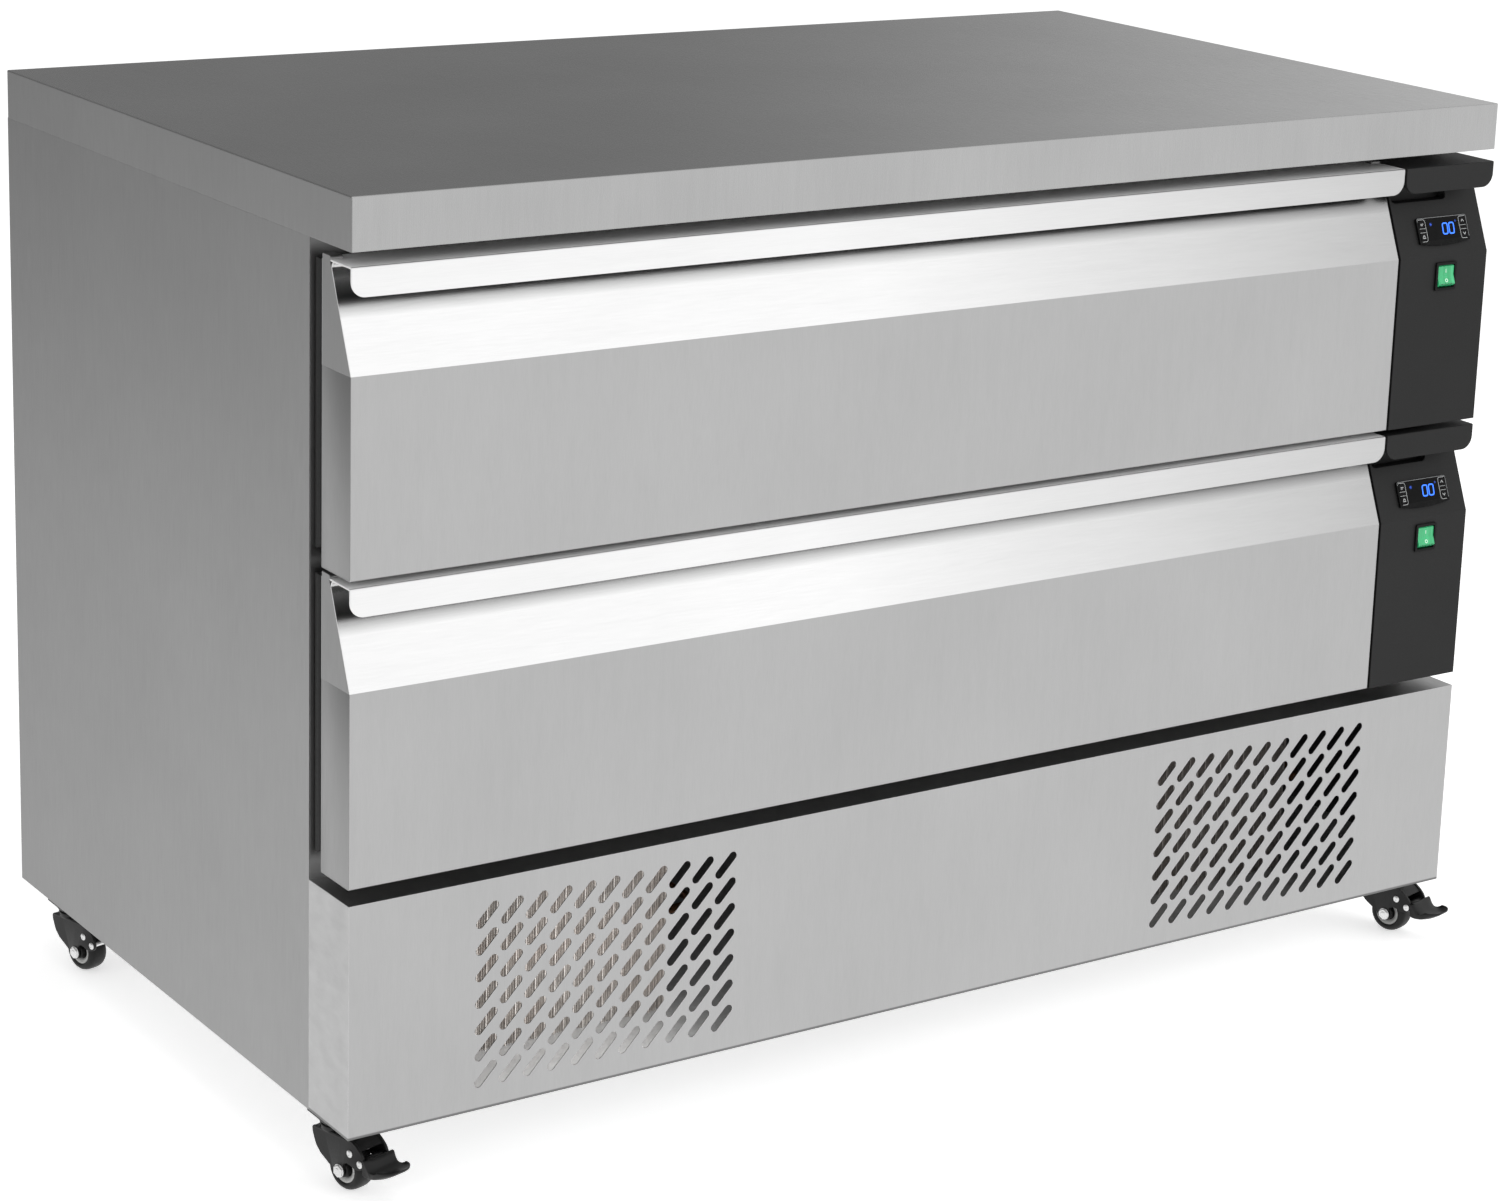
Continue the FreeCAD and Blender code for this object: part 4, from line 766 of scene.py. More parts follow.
def rounded_rectangle(u0, u1, w0, w1, radius, steps=4):
    corners = [(u0, w0), (u1, w0), (u1, w1), (u0, w1)]
    return rounded_corners(corners, [radius] * 4, steps)


def circle(u, w, radius, count=20):
    return arc((u, w), radius, 0, 360 * (count - 1) / count, count - 1)


def digit_outline(u, w, wide, tall, slant):
    """Closed line of a lit zero with cut corners, leaning a little."""
    cut = 1.6
    points = rounded_corners(
        [(u, w), (u + wide, w), (u + wide, w + tall), (u, w + tall)], [cut] * 4, 2,
    )
    return [(a + slant * (b - w), b) for a, b in points]


def face_piece(side, part, m, material, draw):
    """A piece on a thermostat's face, printed, lit or a painted highlight; draw adds it to a bmesh."""
    bm = bmesh.new()
    draw(bm)
    return finish_mesh(f"{side}_{part}", bm, m[material], "cabinet", 40)


def make_thermostat(side, m):
    plane = thermostat_plane(side)

    def window(bm):
        add_patch(bm, plane, rounded_rectangle(-21.2, 21.2, -10.4, 11.0, 1.2), 0, 2 * PRINT)

    # Grey line along the face's left, top and right edges: a painted highlight of its rounded edge.
    def rim(bm):
        corners = [(-31.6, 8.5), (-32.4, 12.1), (32.3, 12.1), (32.3, -9.5)]
        line = corners[:1] + rounded_corners(corners, [0, 1.5, 1.8, 0], 4, closed=False)[1:]
        add_ribbon(bm, plane, line, 0.45, 0, 1.6 * PRINT)

    def borders(bm):
        for way in (-1, 1):
            corners = [(way * 31.0, 10.9), (way * 22.2, 10.9), (way * 22.2, -11.0), (way * 29.6, -11.0)]
            bracket = rounded_corners(corners, [0, 2.4, 2.4, 0], 5, closed=False)
            add_ribbon(bm, plane, bracket, 0.5, 0, 1.4 * PRINT)
            for w in (2.0, -2.0):
                add_ribbon(bm, plane, [(way * 23.0, w), (way * 30.6, w)], 0.42, 0, 1.4 * PRINT)

    def digits(bm):
        for u in (-0.8, 7.6):
            line = digit_outline(u, -5.2, 6.2, 10.6, 0.07)
            add_ribbon(bm, plane, line, 1.25, 2 * PRINT, 3 * PRINT, closed=True)

    def symbols(bm):
        add_ribbon(bm, plane, circle(17.6, 6.8, 0.75, 12), 0.4, 2 * PRINT, 3 * PRINT, closed=True)
        for k in range(3):
            c, s = math.cos(math.pi * k / 3), math.sin(math.pi * k / 3)
            arm = [(-15.4 - 1.7 * c, 5.4 - 1.7 * s), (-15.4 + 1.7 * c, 5.4 + 1.7 * s)]
            add_ribbon(bm, plane, arm, 0.5, 2 * PRINT, (3 + 0.2 * k) * PRINT)

    for part, material, draw in (
        ("display_window", "window", window), ("face_edge_highlight", "painted_rim_light", rim), ("key_borders", "print", borders),
        ("digits", "digits", digits), ("display_symbols", "digits_dim", symbols),
    ):
        piece = face_piece(side, part, m, material, draw)

    sketches = {
        "set": [[(-1.9, 0.3), (1.9, 0.3)], [(-1.9, -1.0), (0.6, -1.0)]],
        "light": [[(-1.5, -0.6), (-0.5, 1.1), (0.5, 1.1), (1.5, -0.6)], [(-1.9, -1.4), (1.9, -1.4)]],
        "up": [[(-1.7, -0.8), (0, 1.2), (1.7, -0.8)]],
        "down": [[(-1.7, 0.8), (0, -1.2), (1.7, 0.8)]],
    }
    for key, lines in sketches.items():
        centre = node_centre(f"{side}_key_{key}")
        face = FacePlane(centre, SLOPE_ANGLE)
        face.origin += face.out * KEY_THICKNESS / 2
        bm = bmesh.new()
        for k, line in enumerate(lines):
            add_ribbon(bm, face, line, 0.75, 0, (1 + 0.1 * k) * PRINT)
        icon = finish_mesh(f"{side}_{key}_icon", bm, m["print"], f"{side}_{key}_button", 40)


# Rocker marks

ROCKER_TILT = math.radians(10)
ROCKER_FACE = 5 * MM


def make_rocker(side, m):
    """A ring on the raised half of the rocker and a bar on the pressed half, with ribs along its foot."""
    joint = next(j for j in frame["record"]["behaviour"]["joints"] if j["name"] == f"{side}_rocker_tilt")
    pivot = Vector(joint["pos_m"])
    ridge = pivot + Vector((0, -ROCKER_FACE * math.cos(ROCKER_TILT), ROCKER_FACE * math.sin(ROCKER_TILT)))
    upper = FacePlane(ridge, 0)
    lower = FacePlane(ridge, 0)
    lower.up = Vector((0, math.sin(2 * ROCKER_TILT), math.cos(2 * ROCKER_TILT)))
    lower.out = Vector((0, -math.cos(2 * ROCKER_TILT), math.sin(2 * ROCKER_TILT)))
    bm = bmesh.new()
    add_ribbon(bm, lower, circle(0, -5.2, 1.5, 20), 0.7, 0, 3 * PRINT, closed=True)
    add_ribbon(bm, upper, [(0, 2.6), (0, 6.2)], 0.7, 0, 3 * PRINT)
    marks = finish_mesh(f"{side}_rocker_marks", bm, m["mark"], f"{side}_switch_rocker", 40)
    bm = bmesh.new()
    for k in range(9):
        u = -8 + 2 * k
        add_ribbon(bm, lower, [(u, -9.4), (u, -8.2)], 0.9, -PRINT, 4 * PRINT)
    ribs = finish_mesh(f"{side}_rocker_ribs", bm, m["green_dark"], f"{side}_switch_rocker", 40)


# Castors, drawn with the swivel axis at the origin and forward along -Y, then turned and placed

TYRE_RADIUS = 20 * MM
TYRE_WIDTH = 20 * MM
TRAIL = 17 * MM
FORK_INNER = 12.5 * MM
FORK_SHEET = 2.5 * MM
CROWN_TOP = 56.7 * MM
CROWN_HEIGHT = 6.5 * MM
NEAR_RIVET = (30.5 * MM, 40 * MM)
FAR_RIVET = (43 * MM, 34 * MM)


def castor_matrix(name):
    joints = {j["name"]: j for j in frame["record"]["behaviour"]["joints"]}
    swivel = Vector(joints[f"{name}_swivel"]["pos_m"])
    axle = Vector(joints[f"{name}_roll"]["axis"])
    turn = math.atan2(axle.y, axle.x)
    return Matrix.Translation((swivel.x, swivel.y, 0)) @ Matrix.Rotation(turn, 4, "Z")


def castor_piece(name, part, bm, materials, body, nodes, smooth=35):
    bmesh.ops.transform(bm, matrix=castor_matrix(name), verts=bm.verts)
    piece = finish_mesh(f"{name}_{part}", bm, materials, body, smooth)
    for node in nodes:
        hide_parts(node)
    return piece


def curve_steps(p0, p1, p2, p3, steps):
    """Points of a Catmull-Rom curve from p1 up to p2."""
    result = []
    for k in range(steps):
        s = k / steps
        result.append(tuple(0.5 * (
            2 * p1 + (p2 - p0) * s + (2 * p0 - 5 * p1 + 4 * p2 - p3) * s ** 2
            + (3 * p1 - p0 - 3 * p2 + p3) * s ** 3
        )))
    return result


def smooth_closed(points, steps=6):
    """Closed curve through 2D points."""
    result = []
    count = len(points)
    for i in range(count):
        result += curve_steps(*(Vector(points[(i + k) % count]) for k in (-1, 0, 1, 2)), steps)
    return result


def smooth_open(points, steps=6):
    """Curve through 2D points from the first to the last."""
    ends = [points[0]] + list(points) + [points[-1]]
    result = []
    for i in range(len(points) - 1):
        result += curve_steps(*(Vector(ends[i + k]) for k in range(4)), steps)
    return result + [tuple(points[-1])]


def add_sheet_along(bm, path, thickness, x0, x1):
    """Curved sheet over a (u, z) path in millimetres, its thickness on the lower side."""
    outline = thickened([(u, z) for u, z in path][::-1], thickness)
    add_columns(bm, [[(x, -u * MM, z * MM) for u, z in outline] for x in (x0, x1)])


def add_plate(bm, outline, x0, x1, bevel):
    """Plate over a (u, z) outline with softened edges, thickness along the axle."""
    before = set(bm.verts)
    add_columns(bm, [[(x, -u, z) for u, z in outline] for x in (x0, x1)])
    fresh = [v for v in bm.verts if v not in before]
    rims = [e for v in fresh for e in v.link_edges if len(e.link_faces) == 2 and
            abs(e.verts[0].co.x - e.verts[1].co.x) < 1e-9 and
            any(len(f.verts) > 4 for f in e.link_faces)]
    bmesh.ops.bevel(bm, geom=list(dict.fromkeys(rims)), offset=bevel, segments=2, profile=0.5, affect="EDGES")


def fork_outline():
    mm = [
        (-16, 51.5), (-15.5, 44), (-9.5, 32), (2.5, 24), (9.4, 19.5), (11.8, 15.0), (16.5, 13.2), (21.2, 15.2),
        (22.8, 19.6), (21.4, 24.4), (23.4, 29.0), (28.5, 30.2), (35.5, 28.0), (42, 28.2), (47.4, 32.2), (46.4, 40),
        (38.5, 48.2), (29, 52.2), (14, 52.6), (-2, 52.6),
    ]
    return smooth_closed([(u * MM, z * MM) for u, z in mm], 4)


def make_fork(name, m):
    bm = bmesh.new()
    low = CROWN_TOP - CROWN_HEIGHT
    crown = [(0, 4.2), (0, 13.5), (0.8, 15.2), (2.0, 16), (5.4, 16), (6.1, 15.4), (6.5, 14.2), (6.5, 4.2)]
    add_turned(bm, (0, 0, low), (0, 0, 1), [(a * MM, r * MM) for a, r in crown])
    half = FORK_INNER + FORK_SHEET
    add_block(bm, (-half, -NEAR_RIVET[0], low), (half, 14 * MM, low + FORK_SHEET), 0.8 * MM)
    outline = fork_outline()
    for x0 in (-half, FORK_INNER):
        add_plate(bm, outline, x0, x0 + FORK_SHEET, 0.5 * MM)
    hood = smooth_open([(10, 52.2), (20, 52.3), (29, 51.8), (36, 48.8), (41.2, 44.6)], 5)
    add_sheet_along(bm, hood, 1.6, -FORK_INNER, FORK_INNER)
    castor_piece(name, "yoke", bm, m["castor"], f"{name}_castor_fork", [f"{name}_fork"])

    bm = bmesh.new()
    for (u, z), radius in ((NEAR_RIVET, 3.4 * MM), (FAR_RIVET, 3.4 * MM)):
        for way in (-1, 1):
            start = (way * (half - 0.2 * MM), -u, z)
            dome = [(0, radius), (0.7 * MM, radius), (1.2 * MM, 0.8 * radius), (1.4 * MM, 0.35 * radius),
                    (1.15 * MM, 0.30 * radius), (1.1 * MM, 0.05 * radius)]
            add_turned(bm, start, (way, 0, 0), dome, 28)
        add_turned(bm, (-half, -u, z), (1, 0, 0), [(0, 2 * MM), (2 * half, 2 * MM)], 24)
    castor_piece(name, "rivets", bm, m["bolt"], f"{name}_castor_fork", [f"{name}_fork"])

    bm = bmesh.new()
    for way in (-1, 1):
        start = Vector((way * half, -TRAIL, TYRE_RADIUS))
        across = Vector((0, 0, 1))
        loops = []
        for along, radius in ((0, 5.2), (0.3, 5.7), (1.6, 5.7), (2.1, 5.2)):
            centre = start + Vector((way * along * MM, 0, 0))
            loops.append(ring_loop(centre, (way, 0, 0), across, radius * MM, 6))
        add_columns(bm, loops)
        add_turned(bm, start, (way, 0, 0), [(0, 6 * MM), (0.4 * MM, 6 * MM), (0.5 * MM, 5.6 * MM)], 32)
        add_turned(bm, start, (way, 0, 0), [(1.8 * MM, 2.9 * MM), (2.3 * MM, 2.9 * MM), (2.5 * MM, 2.5 * MM)], 24)
    add_turned(bm, (-half, -TRAIL, TYRE_RADIUS), (1, 0, 0), [(0, 3.9 * MM), (2 * half, 3.9 * MM)], 32)
    castor_piece(name, "axle_nuts", bm, m["bolt"], f"{name}_castor_fork", [f"{name}_fork"])


def make_wheel(name, m):
    body = f"{name}_castor_wheel"
    node = [f"{name}_wheel"]
    start = (-TYRE_WIDTH / 2, -TRAIL, TYRE_RADIUS)
    half_profile = [
        (1.2, 13.0), (0.6, 13.6), (0.2, 14.8), (0.1, 16.0), (0.9, 17.8), (2.4, 19.0), (4.6, 19.7), (7.0, 19.95),
        (10, 20),
    ]
    profile = half_profile + [(20 - a, r) for a, r in half_profile[-2::-1]]
    rings = [(a * MM, r * MM) for a, r in profile]
    bm = bmesh.new()
    add_ring(bm, start, (1, 0, 0), rings + [(a, 12.8 * MM) for a in (rings[-1][0], rings[0][0])], 72)
    castor_piece(name, "tyre", bm, m["tread"], body, node, 50)

    rim = [(4.4, 7.9), (3.2, 8.3), (1.9, 9.6), (1.2, 11.4), (1.0, 12.3), (1.3, 12.95), (4, 12.95), (16, 12.95),
           (18.7, 12.95), (19.0, 12.3), (18.8, 11.4), (18.1, 9.6), (16.8, 8.3), (15.6, 7.9)]
    bm = bmesh.new()
    add_ring(bm, start, (1, 0, 0), [(a * MM, r * MM) for a, r in rim], 72)
    castor_piece(name, "rim", bm, m["rim"], body, node, 45)

    hub = [(-2.0, 4.3), (-2.0, 6.2), (-1.4, 7.0), (4.2, 7.2), (4.4, 8.0), (15.6, 8.0), (15.8, 7.2), (21.4, 7.0),
           (22.0, 6.2), (22.0, 4.3)]
    bm = bmesh.new()
    add_ring(bm, start, (1, 0, 0), [(a * MM, r * MM) for a, r in hub], 64)
    castor_piece(name, "hub", bm, m["castor"], body, node, 35)


def add_ring(bm, start, axis, profile, count=64):
    """Turned ring with a hole: the profile is a closed loop of (along, radius)."""
    start, axis = Vector(start), Vector(axis).normalized()
    across = axis.orthogonal()
    loops = [ring_loop(start + axis * along, axis, across, radius, count) for along, radius in profile]
    add_columns(bm, loops + loops[:1], closed_ends=False)


def make_pedal(name, m):
    """Wide brake pedal: pivot boss, side cheeks, scooped top and flared tip with round corners."""
    bm = bmesh.new()
    link_u, tip_u, half = 50.0, 79.0, 16.8
    top = [(48.5, 39.6), (50.2, 40.8), (52.2, 40.4), (54.0, 38.2), (56.5, 34.6), (60.0, 32.0), (65.0, 31.2),
           (70.0, 31.8), (74.5, 33.4), (77.6, 35.0)]
    tip = [(78.7, 35.4), (79.0, 34.6), (78.6, 33.4)]
    belly = [(75.5, 31.0), (70.5, 28.0), (64.0, 25.9), (57.5, 25.1), (51.5, 25.4), (48.5, 26.6)]
    profile = top + tip + belly
    corner = 12.5
    columns = []
    steps = 10
    edge = [corner * (1 - math.cos(math.pi / 2 * i / steps)) for i in range(steps + 1)]
    inner = [corner + (half - corner) * k / 3 for k in (1, 2)]
    offsets = [0.0] + [e for e in edge if e > 0.25] + inner + [half]
    vs = [-half + d for d in offsets] + [half - d for d in offsets[-2::-1]]
    for v in vs:
        inset = half - abs(v)
        cut = corner - math.sqrt(max(corner ** 2 - (corner - min(inset, corner)) ** 2, 0))
        shrink = (tip_u - link_u - cut) / (tip_u - link_u)
        slim = 1 - 0.10 * math.exp(-inset / 0.8)
        bulge = 0.5 * (1 - (abs(v) / half) ** 2)
        loop = []
        for k, (u, z) in enumerate(profile):
            reach = link_u + (u - link_u) * shrink if u > link_u else u
            middle = 31.5
            dish = -bulge if k < len(top) else bulge * 0.4
            loop.append((v * MM, -reach * MM, (middle + (z - middle) * slim + dish) * MM))
        columns.append(loop)
    add_columns(bm, columns)
    boss_half = FORK_INNER - 0.7 * MM
    add_ring(
        bm, (-boss_half, -FAR_RIVET[0], FAR_RIVET[1]), (1, 0, 0),
        [(0, 2.1 * MM), (0, 4.6 * MM), (0.4 * MM, 5 * MM), (2 * boss_half - 0.4 * MM, 5 * MM),
         (2 * boss_half, 4.6 * MM), (2 * boss_half, 2.1 * MM)], 32,
    )
    for way in (-1, 1):
        xs = sorted((way * boss_half, way * (boss_half - 3 * MM)))
        add_block(bm, (xs[0], -50.5 * MM, 29.2 * MM), (xs[1], -44.5 * MM, 38.8 * MM), 0.8 * MM)
    add_block(bm, (-boss_half, -50.2 * MM, 30.6 * MM), (boss_half, -46.8 * MM, 38.2 * MM), 0.8 * MM)
    castor_piece(name, "brake_foot", bm, m["castor"], f"{name}_brake", [f"{name}_pedal"], 60)

    bm = bmesh.new()
    gap = 0.7
    reach_out = math.hypot(26, 14)
    toward = Vector((0, 26, -14)).normalized()
    across = Vector((0, 14, 26)).normalized()
    pivot = Vector((0, -43, 34))
    pad = []
    for along, rise in ((4.2, 2.4), (reach_out - 20 - gap - 0.3, 2.4), (reach_out - 20 - gap - 0.3, -2.4), (4.2, -2.4)):
        pad.append(pivot + toward * along + across * rise)
    loops = [[Vector((x, p.y, p.z)) * MM for p in pad] for x in (-11.5, 11.5)]
    add_columns(bm, loops)
    castor_piece(name, "brake_pad", bm, m["tread"], f"{name}_brake", [f"{name}_pedal"], 30)


def make_castors(m):
    for name in CASTORS:
        make_fork(name, m)
        make_wheel(name, m)
        if name in FRONT_CASTORS:
            make_pedal(name, m)


# Machinery

FIN_PITCH = 10 * MM
FINE_FINS = 4
FIN_SHEET = 0.3 * MM
FIN_WAVE = 0.25 * MM
COIL_END = 2.5 * MM
CONDENSER_WIDTH = 250 * MM
EVAPORATOR_HEIGHT = 140 * MM


def coil_boxes(node):
    """Low and high corner of each of a node's two coils."""
    low, high = node_low(node), node_high(node)
    if node == "condensers":
        return [(low, Vector((low.x + CONDENSER_WIDTH, high.y, high.z))),
                (Vector((high.x - CONDENSER_WIDTH, low.y, low.z)), high)]
    return [(low, Vector((high.x, high.y, low.z + EVAPORATOR_HEIGHT))),
            (Vector((low.x, low.y, high.z - EVAPORATOR_HEIGHT)), high)]


def make_fins(m):
    """Fine corrugated fins between the coils' plates."""
    for node in ("condensers", "evaporators"):
        bm = bmesh.new()
        for low, high in coil_boxes(node):
            first = low.x + COIL_END
            count = int((high.x - low.x - 2 * COIL_END) / FIN_PITCH * FINE_FINS)
            for i in range(1, count):
                if i % FINE_FINS == 0:
                    continue
                x = first + i * FIN_PITCH / FINE_FINS
                path = []
                for k in range(9):
                    y = low.y + 0.4 * MM + (high.y - low.y - 0.8 * MM) * k / 8
                    path.append((x + FIN_WAVE * (-1) ** k, y))
                loop = [(px, py) for px, py in path] + [(px + FIN_SHEET, py) for px, py in path[::-1]]
                rings = [[bm.verts.new((px, py, z)) for px, py in loop] for z in (low.z + 0.5 * MM, high.z - 0.5 * MM)]
                for a in range(len(loop)):
                    b = (a + 1) % len(loop)
                    bm.faces.new((rings[0][a], rings[0][b], rings[1][b], rings[1][a]))
                for ring in rings:
                    for a in range(8):
                        bm.faces.new((ring[a], ring[a + 1], ring[16 - a], ring[17 - a]))
        piece = finish_mesh(f"{node}_fine_fins", bm, m["fin"], "cabinet", 20)


GUARD_WIRE = 0.9 * MM


def make_fan_guards(m):
    """Wire guards in front of the fans: rings on a cross of spokes."""
    for name in FANS:
        low, high = node_low(f"{name}_blades"), node_high(f"{name}_blades")
        centre = (low + high) / 2
        radius = (high.z - low.z) / 2 + 3 * MM
        y = low.y - 0.5 * MM - 2 * GUARD_WIRE
        bm = bmesh.new()
        for share in (0.3, 0.48, 0.66, 0.84, 1.0):
            ring = ring_loop((centre.x, y, centre.z), (0, 1, 0), (1, 0, 0), radius * share, 40)
            add_tube(bm, ring, GUARD_WIRE, 6, closed=True)
        for k in range(3):
            turn = math.pi * k / 3
            arm = Vector((math.cos(turn), 0, math.sin(turn))) * radius
            spot = Vector((centre.x, y + GUARD_WIRE, centre.z))
            add_tube(bm, [spot - arm, spot + arm], GUARD_WIRE, 6)
        piece = finish_mesh(f"{name}_guard", bm, m["bolt"], "cabinet", 60)


VENT_POWER = 0.30
VENT_LAMP_GAP = 8 * MM


def make_vent_lamp():
    """Light inside the left machine room, so that the coil shows through the slots as in the photograph."""
    low, high = coil_boxes("condensers")[0]
    data = bpy.data.lights.new("vent_lamp", "AREA")
    data.shape = "RECTANGLE"
    data.size, data.size_y = high.x - low.x, high.z - low.z
    data.energy = VENT_POWER
    lamp = bpy.data.objects.new("vent_lamp", data)
    bpy.context.scene.collection.objects.link(lamp)
    lamp.location = ((low.x + high.x) / 2, FRONT + VENT_LAMP_GAP, (low.z + high.z) / 2)
    lamp.rotation_euler = (math.radians(90), 0, 0)
    lamp.visible_camera = False
    lamp.visible_glossy = False


# Studio

class WorldNodes:
    """The world's node tree with short calls."""

    def __init__(self, tree):
        self.tree = tree
        tree.nodes.clear()

    def add(self, kind):
        return self.tree.nodes.new(kind)

    def link(self, source, target):
        self.tree.links.new(source, target)

    def ramp(self, source, start, end, low, high):
        node = self.add("ShaderNodeMapRange")
        node.interpolation_type = "SMOOTHSTEP"
        for name, value in (("From Min", start), ("From Max", end), ("To Min", low), ("To Max", high)):
            node.inputs[name].default_value = value
        self.link(source, node.inputs["Value"])
        return node.outputs["Result"]

    def blend(self, factor, first, second):
        node = self.add("ShaderNodeMix")
        self.link(factor, node.inputs["Factor"])
        self.link(first, node.inputs["A"])
        if isinstance(second, float):
            node.inputs["B"].default_value = second
        else:
            self.link(second, node.inputs["B"])
        return node.outputs["Result"]

    def light(self, strength):
        node = self.add("ShaderNodeBackground")
        node.inputs["Color"].default_value = (1, 1, 1, 1)
        if isinstance(strength, float):
            node.inputs["Strength"].default_value = strength
        else:
            self.link(strength, node.inputs["Strength"])
        return node.outputs["Background"]

    def choose(self, factor, first, second):
        node = self.add("ShaderNodeMixShader")
        self.link(factor, node.inputs["Fac"])
        self.link(first, node.inputs[1])
        self.link(second, node.inputs[2])
        return node.outputs["Shader"]

    def larger(self, first, second):
        node = self.add("ShaderNodeMath")
        node.operation = "MAXIMUM"
        self.link(first, node.inputs[0])
        self.link(second, node.inputs[1])
        return node.outputs["Value"]


ROOM_LIGHT = 0.55

# Strengths of the sky that only reflections see, and the parts of a direction over which they change

SKY_DARK, SKY_BRIGHT = 0.24, 0.92
SKY_BRIGHT_FROM_TO = (0.50, 0.79)
SKY_FRONT = 1.04
SKY_FRONT_FROM_TO = (0.15, -0.25)
SKY_ABOVE = 0.72
SKY_ABOVE_FROM_TO = (0.55, 0.95)


def make_world():
    """White for the camera and through glass, an even room for diffuse light, and another sky for reflections.

    Reflections don't see the white: their sky, dark behind to the left, is fitted to the photograph.
    """
    world = bpy.data.worlds.new("studio")
    world.use_nodes = True
    bpy.context.scene.world = world
    w = WorldNodes(world.node_tree)
    rays = w.add("ShaderNodeLightPath")
    place = w.add("ShaderNodeTexCoord")
    split = w.add("ShaderNodeSeparateXYZ")
    w.link(place.outputs["Generated"], split.inputs["Vector"])
    x, y, z = (split.outputs[axis] for axis in "XYZ")
    behind = w.ramp(x, *SKY_BRIGHT_FROM_TO, SKY_DARK, SKY_BRIGHT)
    round_about = w.blend(w.ramp(y, *SKY_FRONT_FROM_TO, 0, 1), behind, SKY_FRONT)
    mirrored = w.blend(w.ramp(z, *SKY_ABOVE_FROM_TO, 0, 1), round_about, SKY_ABOVE)
    lit = w.choose(rays.outputs["Is Glossy Ray"], w.light(ROOM_LIGHT), w.light(mirrored))
    seen = w.larger(rays.outputs["Is Camera Ray"], rays.outputs["Is Transmission Ray"])
    output = w.add("ShaderNodeOutputWorld")
    w.link(w.choose(seen, lit, w.light(1.0)), output.inputs["Surface"])


FLOOR_SIZE = 14.0
FLOOR_GAP = 0.0004
FLOOR_FAR, FLOOR_NEAR = 0.50, 1.07
FLOOR_FAR_X, FLOOR_NEAR_X = -3.2, -1.0
FLOOR_LIFT = 0.58


def make_floor():
    """White paper that takes the shadow for the camera; reflections see a glow instead, weaker to the far left."""
    bm = bmesh.new()
    bmesh.ops.create_grid(bm, x_segments=1, y_segments=1, size=FLOOR_SIZE)
    mesh = bpy.data.meshes.new("floor")
    bm.to_mesh(mesh)
    bm.free()
    floor = bpy.data.objects.new("floor", mesh)
    bpy.context.scene.collection.objects.link(floor)
    floor.location.z = -FLOOR_GAP
    s = Shader("floor_paper", Roughness=0.9, Specular_IOR_Level=0.0)
    dust = s.noise(3, 3)
    s.colour(s.mix(s.spread(dust, 0, 1), grey(0.86), grey(0.88)))
    rays = s.add("ShaderNodeLightPath")
    lift = s.add("ShaderNodeEmission", Strength=FLOOR_LIFT)
    lifted = s.add("ShaderNodeAddShader")
    s.link(s.principled.outputs["BSDF"], lifted.inputs[0])
    s.link(lift.outputs["Emission"], lifted.inputs[1])
    place = s.add("ShaderNodeNewGeometry")
    split = s.add("ShaderNodeSeparateXYZ")
    s.link(place.outputs["Position"], split.inputs["Vector"])
    field = s.add("ShaderNodeEmission")
    s.link(s.spread(split.outputs["X"], FLOOR_FAR, FLOOR_NEAR, FLOOR_FAR_X, FLOOR_NEAR_X), field.inputs["Strength"])
    shown = s.principled.outputs["BSDF"]
    for ray, other in (("Is Camera Ray", lifted.outputs["Shader"]), ("Is Glossy Ray", field.outputs["Emission"])):
        choice = s.add("ShaderNodeMixShader")
        s.link(rays.outputs[ray], choice.inputs["Fac"])
        s.link(shown, choice.inputs[1])
        s.link(other, choice.inputs[2])
        shown = choice.outputs["Shader"]
    s.link(shown, s.output.inputs["Surface"])
    mesh.materials.append(s.material)


def add_softbox(name, at, target, size, power):
    """Soft lamp for the diffuse light; the metal sees the room instead of it."""
    data = bpy.data.lights.new(name, "AREA")
    data.shape = "RECTANGLE"
    data.size, data.size_y = size
    data.energy = power
    lamp = bpy.data.objects.new(name, data)
    bpy.context.scene.collection.objects.link(lamp)
    lamp.location = at
    lamp.rotation_euler = (Vector(target) - Vector(at)).to_track_quat("-Z", "Y").to_euler()
    lamp.visible_glossy = False


FRONT_POWER = 90
OVERHEAD_POWER = 45
FILL_POWER = 20


def make_lights():
    add_softbox("front_right_softbox", (3.2, -4.2, 2.9), (0, 0, 0.5), (3.6, 2.6), FRONT_POWER)
    add_softbox("overhead_softbox", (0.3, -0.6, 4.2), (0, 0, 0.4), (3.6, 3.0), OVERHEAD_POWER)
    add_softbox("left_fill", (-4.5, -0.5, 1.6), (0, 0, 0.4), (2.6, 2.2), FILL_POWER)


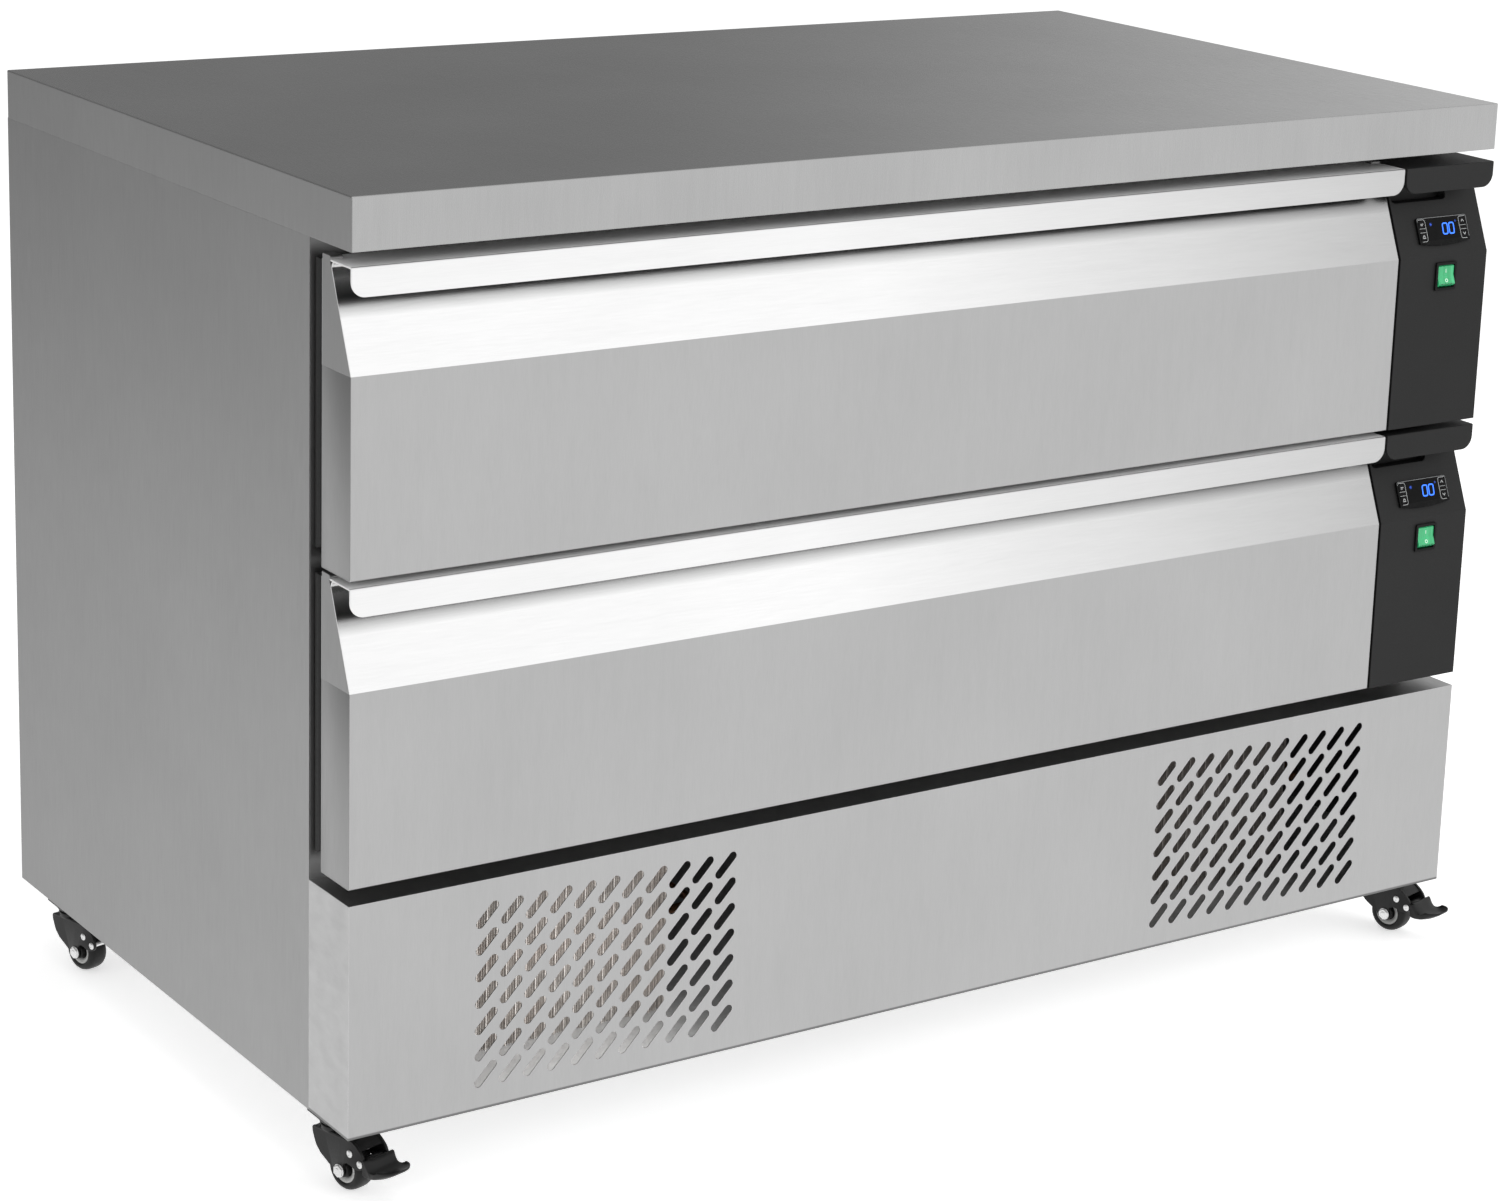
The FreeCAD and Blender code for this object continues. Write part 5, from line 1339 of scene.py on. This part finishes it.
CABINET_MATERIALS = {
    "side_panels": "side",
    "back_panel": "zinc",
    "insulation_foam": "foam",
    "compartment_liners": "inner",
    "inner_sheet_frame": "frame",
    "base_pan": "pan",
    "base_front_panel": "base",
    "consoles": "console",
    "thermostats": "glass",
    "switch_housings": "switch",
    "compressors": "pot",
    "condensers": "fin",
    "fan_motors": "fan_frame",
    "evaporators": "fin",
    "refrigerant_pipes": "copper",
    "slide_outer_members": "zinc_bright",
    # Castor plates: zinc, given the black castor colour as painted shade under the base.
    "castor_plates": "castor",
    "panel_screws": "bolt",
    "cord_gland": "black",
}


def paint_nodes(m):
    """Finished materials of the carried-over nodes; the worktop's two ends take a darker steel with painted shade, like
    the side panels.
    """
    paint("worktop_skin", m["worktop"], m["top_end"])
    for face in frame["nodes"]["worktop_skin"].data.polygons:
        face.material_index = 1 if abs(face.normal.x) > 0.9 else 0
    for node, material in CABINET_MATERIALS.items():
        paint(node, m[material])
    for side in SIDES:
        paint(f"{side}_drawer_end_caps", m["cap"])
        paint(f"{side}_drawer_foam", m["foam"])
        paint(f"{side}_drawer_back_panel", m["inner"])
        paint(f"{side}_gasket", m["seal"])
        paint(f"{side}_bin", m["inner"])
        paint(f"{side}_slide_inner", m["zinc_bright"])
        paint(f"{side}_slide_middle", m["zinc_bright"])
        paint(f"{side}_rocker", m["green"])
        for key in KEYS:
            paint(f"{side}_key_{key}", m["glass"])
    for name in FANS:
        paint(f"{name}_blades", m["fan_blade"])
    for name in CASTORS:
        paint(f"{name}_fork", m["castor"])
        paint(f"{name}_wheel", m["tread"])
        if name in FRONT_CASTORS:
            paint(f"{name}_pedal", m["castor"])


def build():
    scene = bpy.context.scene
    scene.view_settings.view_transform = "Standard"
    make_camera()
    materials = make_materials()
    paint_nodes(materials)
    make_fronts(materials)
    make_seals(materials)
    for side in SIDES:
        make_thermostat(side, materials)
        make_rocker(side, materials)
    make_castors(materials)
    make_fins(materials)
    make_fan_guards(materials)
    make_world()
    make_floor()
    make_lights()
    make_vent_lamp()


build()
